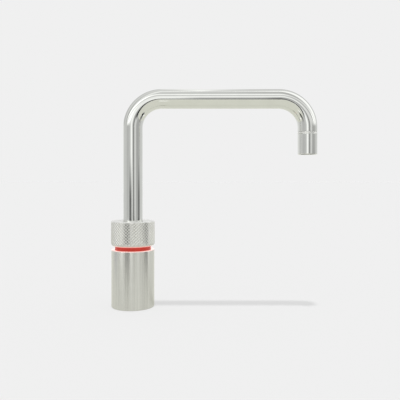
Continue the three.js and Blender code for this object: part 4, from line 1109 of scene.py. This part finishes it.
# What metal sees, as (angle in degrees, level) pairs joined by straight lines. The first table
# goes round the stage by azimuth, from the camera's side to the right. The second goes over it,
# from level at the camera's side up over the top to level behind. The third is for low in front,
# by elevation. The last two go by azimuth again: a factor on the levels over the stage, and the
# share that the low levels have.
ROUND_THE_STAGE = (
    (-180, 0.90), (-160, 1.00), (-135, 0.90), (-105, 0.70), (-78, 0.76), (-67, 0.60), (-36, 0.64),
    (-27, 0.72), (-20, 0.84), (-17, 1.25), (-3, 1.25), (0, 0.74), (7, 0.68), (9, 0.32), (20, 0.32),
    (24, 0.86), (43, 0.82), (46, 0.52), (78, 0.50), (82, 0.64), (98, 0.70), (105, 0.76),
    (135, 0.78), (160, 0.95), (180, 0.90),
)
OVER_THE_STAGE = (
    (0, 1.10), (14, 1.10), (16, 1.16), (25, 1.12), (28, 0.76), (38, 0.76), (40, 1.30), (51, 1.28),
    (53, 0.72), (66, 0.74), (80, 0.82), (85, 1.10), (92, 1.15), (98, 1.24), (124, 1.24),
    (135, 1.00), (180, 0.90),
)
LOW_ON_THE_STAGE = (
    (-90, 0.87), (-13, 0.82), (-11.8, 0.75), (-10.4, 0.03), (-5.2, 0.03), (-4.7, 0.85), (-2, 0.95),
    (0, 1.00),
)
OVER_BESIDE = (
    (-178, 1.0), (-170, 0.68), (-76, 0.68), (-64, 1.35), (-34, 1.45), (-20, 1.05), (-12, 1.0),
    (12, 1.0), (30, 0.8), (63, 0.8), (70, 1.45), (84, 1.3), (92, 1.13), (122, 1.05), (131, 0.68),
    (170, 0.68), (178, 1.0),
)
LOW_BESIDE = ((-30, 0.0), (-14, 1.0), (24, 1.0), (42, 0.0))
OVER_FROM, OVER_TO = 7.0, 12.0  # elevations between which the levels over the stage take over
BRIGHTEST = 1.5  # level that a ramp's white stands for
WHITE = (1.0, 1.0, 1.0, 1.0)

FLOOR_HALF, FLOOR_LEVEL = 40.0, -0.1 * MM
FLOOR_FADE = 0.05  # share of its reach that the floor fades over, to each side
CARD_ROWS, CARD_COLUMNS = 25, 41
CARD_FADE = 0.2  # share of its half width that a card clears over, on each side
HIDDEN_RAYS = ("camera", "diffuse", "shadow", "transmission", "volume_scatter")

# Cards that metal sees beside the camera: (name, middle azimuth and half width in degrees, lower
# and upper edge, share of the height over which they clear upward, level)
CARDS = (
    ("left_dark", -21.0, 14.5, 0.010, 0.19, 0.4, 0.20),
    ("right_dark", 79.0, 12.5, 0.010, 0.19, 0.4, 0.22),
    ("left_darkest", -22.0, 14.0, 0.045, 0.079, 0.1, 0.0),
    ("right_darkest", 76.0, 13.0, 0.045, 0.079, 0.1, 0.0),
    ("left_bright", -54.0, 10.0, 0.045, 0.079, 0.1, 1.5),
    ("middle_bright", -1.0, 6.0, 0.045, 0.079, 0.1, 1.5),
    ("right_bright", 97.0, 7.0, 0.045, 0.079, 0.1, 1.5),
    ("left_grey", -92.0, 15.0, 0.0, 0.079, 0.1, 0.60),
)


def grey(level):
    return (min(level, 1.0),) * 3


def between(tree, part, a, b):
    """a, and b for the given part."""
    return add_node(tree, "Mix", {0: part, 2: a, 3: b}).outputs[0]


def looked_up(tree, value, table):
    """Level for a value, by straight lines between the pairs of a table."""
    low, high = table[0][0], table[-1][0]
    stops = [((at - low) / (high - low), toned(grey(level / BRIGHTEST))) for at, level in table]
    return times(tree, ramped(tree, spread(tree, value, 0.0, 1.0, low, high), stops), BRIGHTEST)


def studio_world(size):
    """Soft studio: plain to the camera, even to diffuse surfaces, banded to metal."""
    world = bpy.data.worlds.new("studio")
    world.use_nodes = True
    tree = world.node_tree
    tree.nodes.clear()
    direction = add_node(tree, "TexCoord").outputs["Generated"]
    x, y, z = add_node(tree, "SeparateXYZ", {0: direction}).outputs
    front = times(tree, y, -1.0)
    azimuth = times(tree, math_node(tree, "ARCTAN2", x, front), TO_DEGREES)
    over = times(tree, math_node(tree, "ARCTAN2", z, front), TO_DEGREES)
    elevation = times(tree, math_node(tree, "ARCSINE", z), TO_DEGREES)
    low = between(tree, looked_up(tree, azimuth, LOW_BESIDE), 1.0,
                  looked_up(tree, elevation, LOW_ON_THE_STAGE))
    beside = times(tree, looked_up(tree, azimuth, ROUND_THE_STAGE), low)
    top = times(tree, looked_up(tree, over, OVER_THE_STAGE), looked_up(tree, azimuth, OVER_BESIDE))
    level = between(tree, spread(tree, elevation, 0.0, 1.0, OVER_FROM, OVER_TO), beside, top)
    path = add_node(tree, "LightPath").outputs
    seen = between(tree, path["Is Glossy Ray"], size.ambient, level)
    seen = between(tree, path["Is Camera Ray"], seen, size.backdrop)
    background = add_node(tree, "Background", {"Color": WHITE, "Strength": seen})
    feed(tree, add_node(tree, "OutputWorld"), {0: background.outputs[0]})
    return world


def show_mix(tree, part, first, second):
    """Gives a material the first shader, and the second for the given part."""
    shader = add_node(tree, "MixShader", {0: part, 1: first.outputs[0], 2: second.outputs[0]})
    feed(tree, tree.nodes["Material Output"], {0: shader.outputs[0]})


def floor_material(size):
    """Plain pale floor, partly lit from below. In reflections it ends at its reach."""
    lit = size.floor * (size.ambient + size.lamp / math.pi)
    material, tree, shader = new_finish("floor", grey(size.floor), {
        "Base Color": toned(grey(size.floor)), "Roughness": 0.9, "Specular IOR Level": 0.0,
        "Emission Strength": size.backdrop - lit})
    mirror = add_node(tree, "LightPath").outputs["Is Glossy Ray"]
    tint = add_node(tree, "MixRGB", {0: mirror, 1: WHITE, 2: toned(size.floor_in_metal)})
    feed(tree, shader, {"Emission Color": tint.outputs[0]})
    place = add_node(tree, "NewGeometry").outputs["Position"]
    distance = add_node(tree, "VectorMath", {0: place}, operation="LENGTH").outputs["Value"]
    beyond = spread(tree, distance, 0.0, 1.0, size.floor_reach * (1 - FLOOR_FADE),
                    size.floor_reach * (1 + FLOOR_FADE))
    show_mix(tree, times(tree, beyond, mirror), shader, add_node(tree, "BsdfTransparent"))
    return material


def card_material(level):
    """Dark or bright card that clears toward its edges, by the cover that its mesh keeps."""
    material, tree, _ = new_finish("card", grey(level), {})
    cover = add_node(tree, "Attribute", attribute_name="cover").outputs["Fac"]
    tone = add_node(tree, "Emission", {"Color": WHITE, "Strength": level})
    show_mix(tree, cover, add_node(tree, "BsdfTransparent"), tone)
    return material


def card_shape(distance, middle, half, low, high, clearing):
    """Part of a cylinder's wall round the tap: the point for azimuth a and height h.

    It lies at (d sin a, -d cos a, h). The cover rises from 0 to 1 over the fade on each side and
    falls to 0 over the clearing share of the height.
    """
    across, up = np.linspace(-1, 1, CARD_COLUMNS), np.linspace(0, 1, CARD_ROWS)[:, None]
    azimuth = np.radians(middle + half * across)
    wall = np.broadcast_arrays(distance * np.sin(azimuth), -distance * np.cos(azimuth),
                               low + (high - low) * up)
    cover = np.clip((1 - np.abs(across)) / CARD_FADE, 0, 1) * np.clip((1 - up) / clearing, 0, 1)
    row, column = np.mgrid[:CARD_ROWS - 1, :CARD_COLUMNS - 1]
    cell = (row * CARD_COLUMNS + column).reshape(-1, 1)
    faces = cell + np.array([[0, 1, CARD_COLUMNS + 1, CARD_COLUMNS]])
    return np.stack(wall, -1).reshape(-1, 3), faces, cover.reshape(-1)


def add_stage_piece(name, points, faces, material):
    """New mesh that belongs to the stage."""
    mesh = bpy.data.meshes.new(name)
    mesh.from_pydata(points, [], faces)
    mesh.materials.append(material)
    piece = add_object(name, mesh)
    return piece


class TAP_OT_stage(Operator):
    """Adds the floor, the studio's light and the camera"""

    bl_idname = "tap.add_stage"
    bl_label = "Stage"

    def execute(self, context):
        scene = context.scene
        size = scene.tap_stage
        corners = [(x * FLOOR_HALF, y * FLOOR_HALF, FLOOR_LEVEL)
                   for x, y in ((-1, -1), (1, -1), (1, 1), (-1, 1))]
        add_stage_piece("floor", corners, [(0, 1, 2, 3)], floor_material(size))

        for place, (name, middle, half, low, high, clearing, level) in enumerate(CARDS):
            distance = size.card_distance - place * size.card_step
            points, faces, cover = card_shape(distance, middle, half, low, high, clearing)
            card = add_stage_piece(name, points.tolist(), faces.tolist(), card_material(level))
            kept = card.data.attributes.new("cover", "FLOAT", "POINT")
            kept.data.foreach_set("value", cover.astype(np.float32))
            for ray in HIDDEN_RAYS:
                setattr(card, "visible_" + ray, False)

        scene.world = studio_world(size)
        lamp = bpy.data.lights.new("overhead", "SUN")
        lamp.energy = size.lamp
        lamp.angle = math.radians(size.lamp_size)
        lamp_object = add_object("overhead", lamp)
        lamp_object.rotation_euler = (math.radians(size.lamp_tilt), 0, 0)
        lamp_object.visible_glossy = False

        camera = bpy.data.cameras.new("camera")
        camera.lens = size.lens
        camera.shift_y = size.shift
        scene.camera = add_object("camera", camera)
        scene.camera.location = (size.camera_x, -size.camera_back, size.camera_height)
        scene.camera.rotation_euler = (math.pi / 2, 0, 0)
        scene.view_settings.view_transform = "Standard"
        return {"FINISHED"}


# Registration --------------------------------------------------------------------------------

PIECES = (TAP_OT_body, TAP_OT_light_ring, TAP_OT_knob, TAP_OT_spout, TAP_OT_outlet, TAP_OT_bearings,
          TAP_OT_spring, TAP_OT_fixing, TAP_OT_inlet, TAP_OT_inner, TAP_OT_stage)
GROUPS = {"tap_body": TapBody, "tap_knob": TapKnob, "tap_spout": TapSpout, "tap_spring": TapSpring,
          "tap_fixing": TapFixing, "tap_inlet": TapInlet, "tap_finish": TapFinish,
          "tap_stage": TapStage}


class TAP_PT_panel(Panel):
    """Lists the tap's pieces and its stage"""

    bl_idname = "TAP_PT_panel"
    bl_label = "Boiling Water Tap"
    bl_space_type = "VIEW_3D"
    bl_region_type = "UI"
    bl_category = "Tap"

    def draw(self, context):
        for piece in PIECES:
            self.layout.operator(piece.bl_idname, text=piece.bl_label)


def register():
    for made in (*GROUPS.values(), *PIECES, TAP_PT_panel):
        bpy.utils.register_class(made)
    for name, group in GROUPS.items():
        setattr(bpy.types.Scene, name, PointerProperty(type=group))


def unregister():
    for name in GROUPS:
        delattr(bpy.types.Scene, name)
    for made in (TAP_PT_panel, *reversed(PIECES), *reversed(GROUPS.values())):
        bpy.utils.unregister_class(made)


def main():
    """Builds the tap and its stage."""
    register()
    for piece in PIECES:
        area, name = piece.bl_idname.split(".")
        getattr(getattr(bpy.ops, area), name)()


if __name__ == "__main__":
    main()
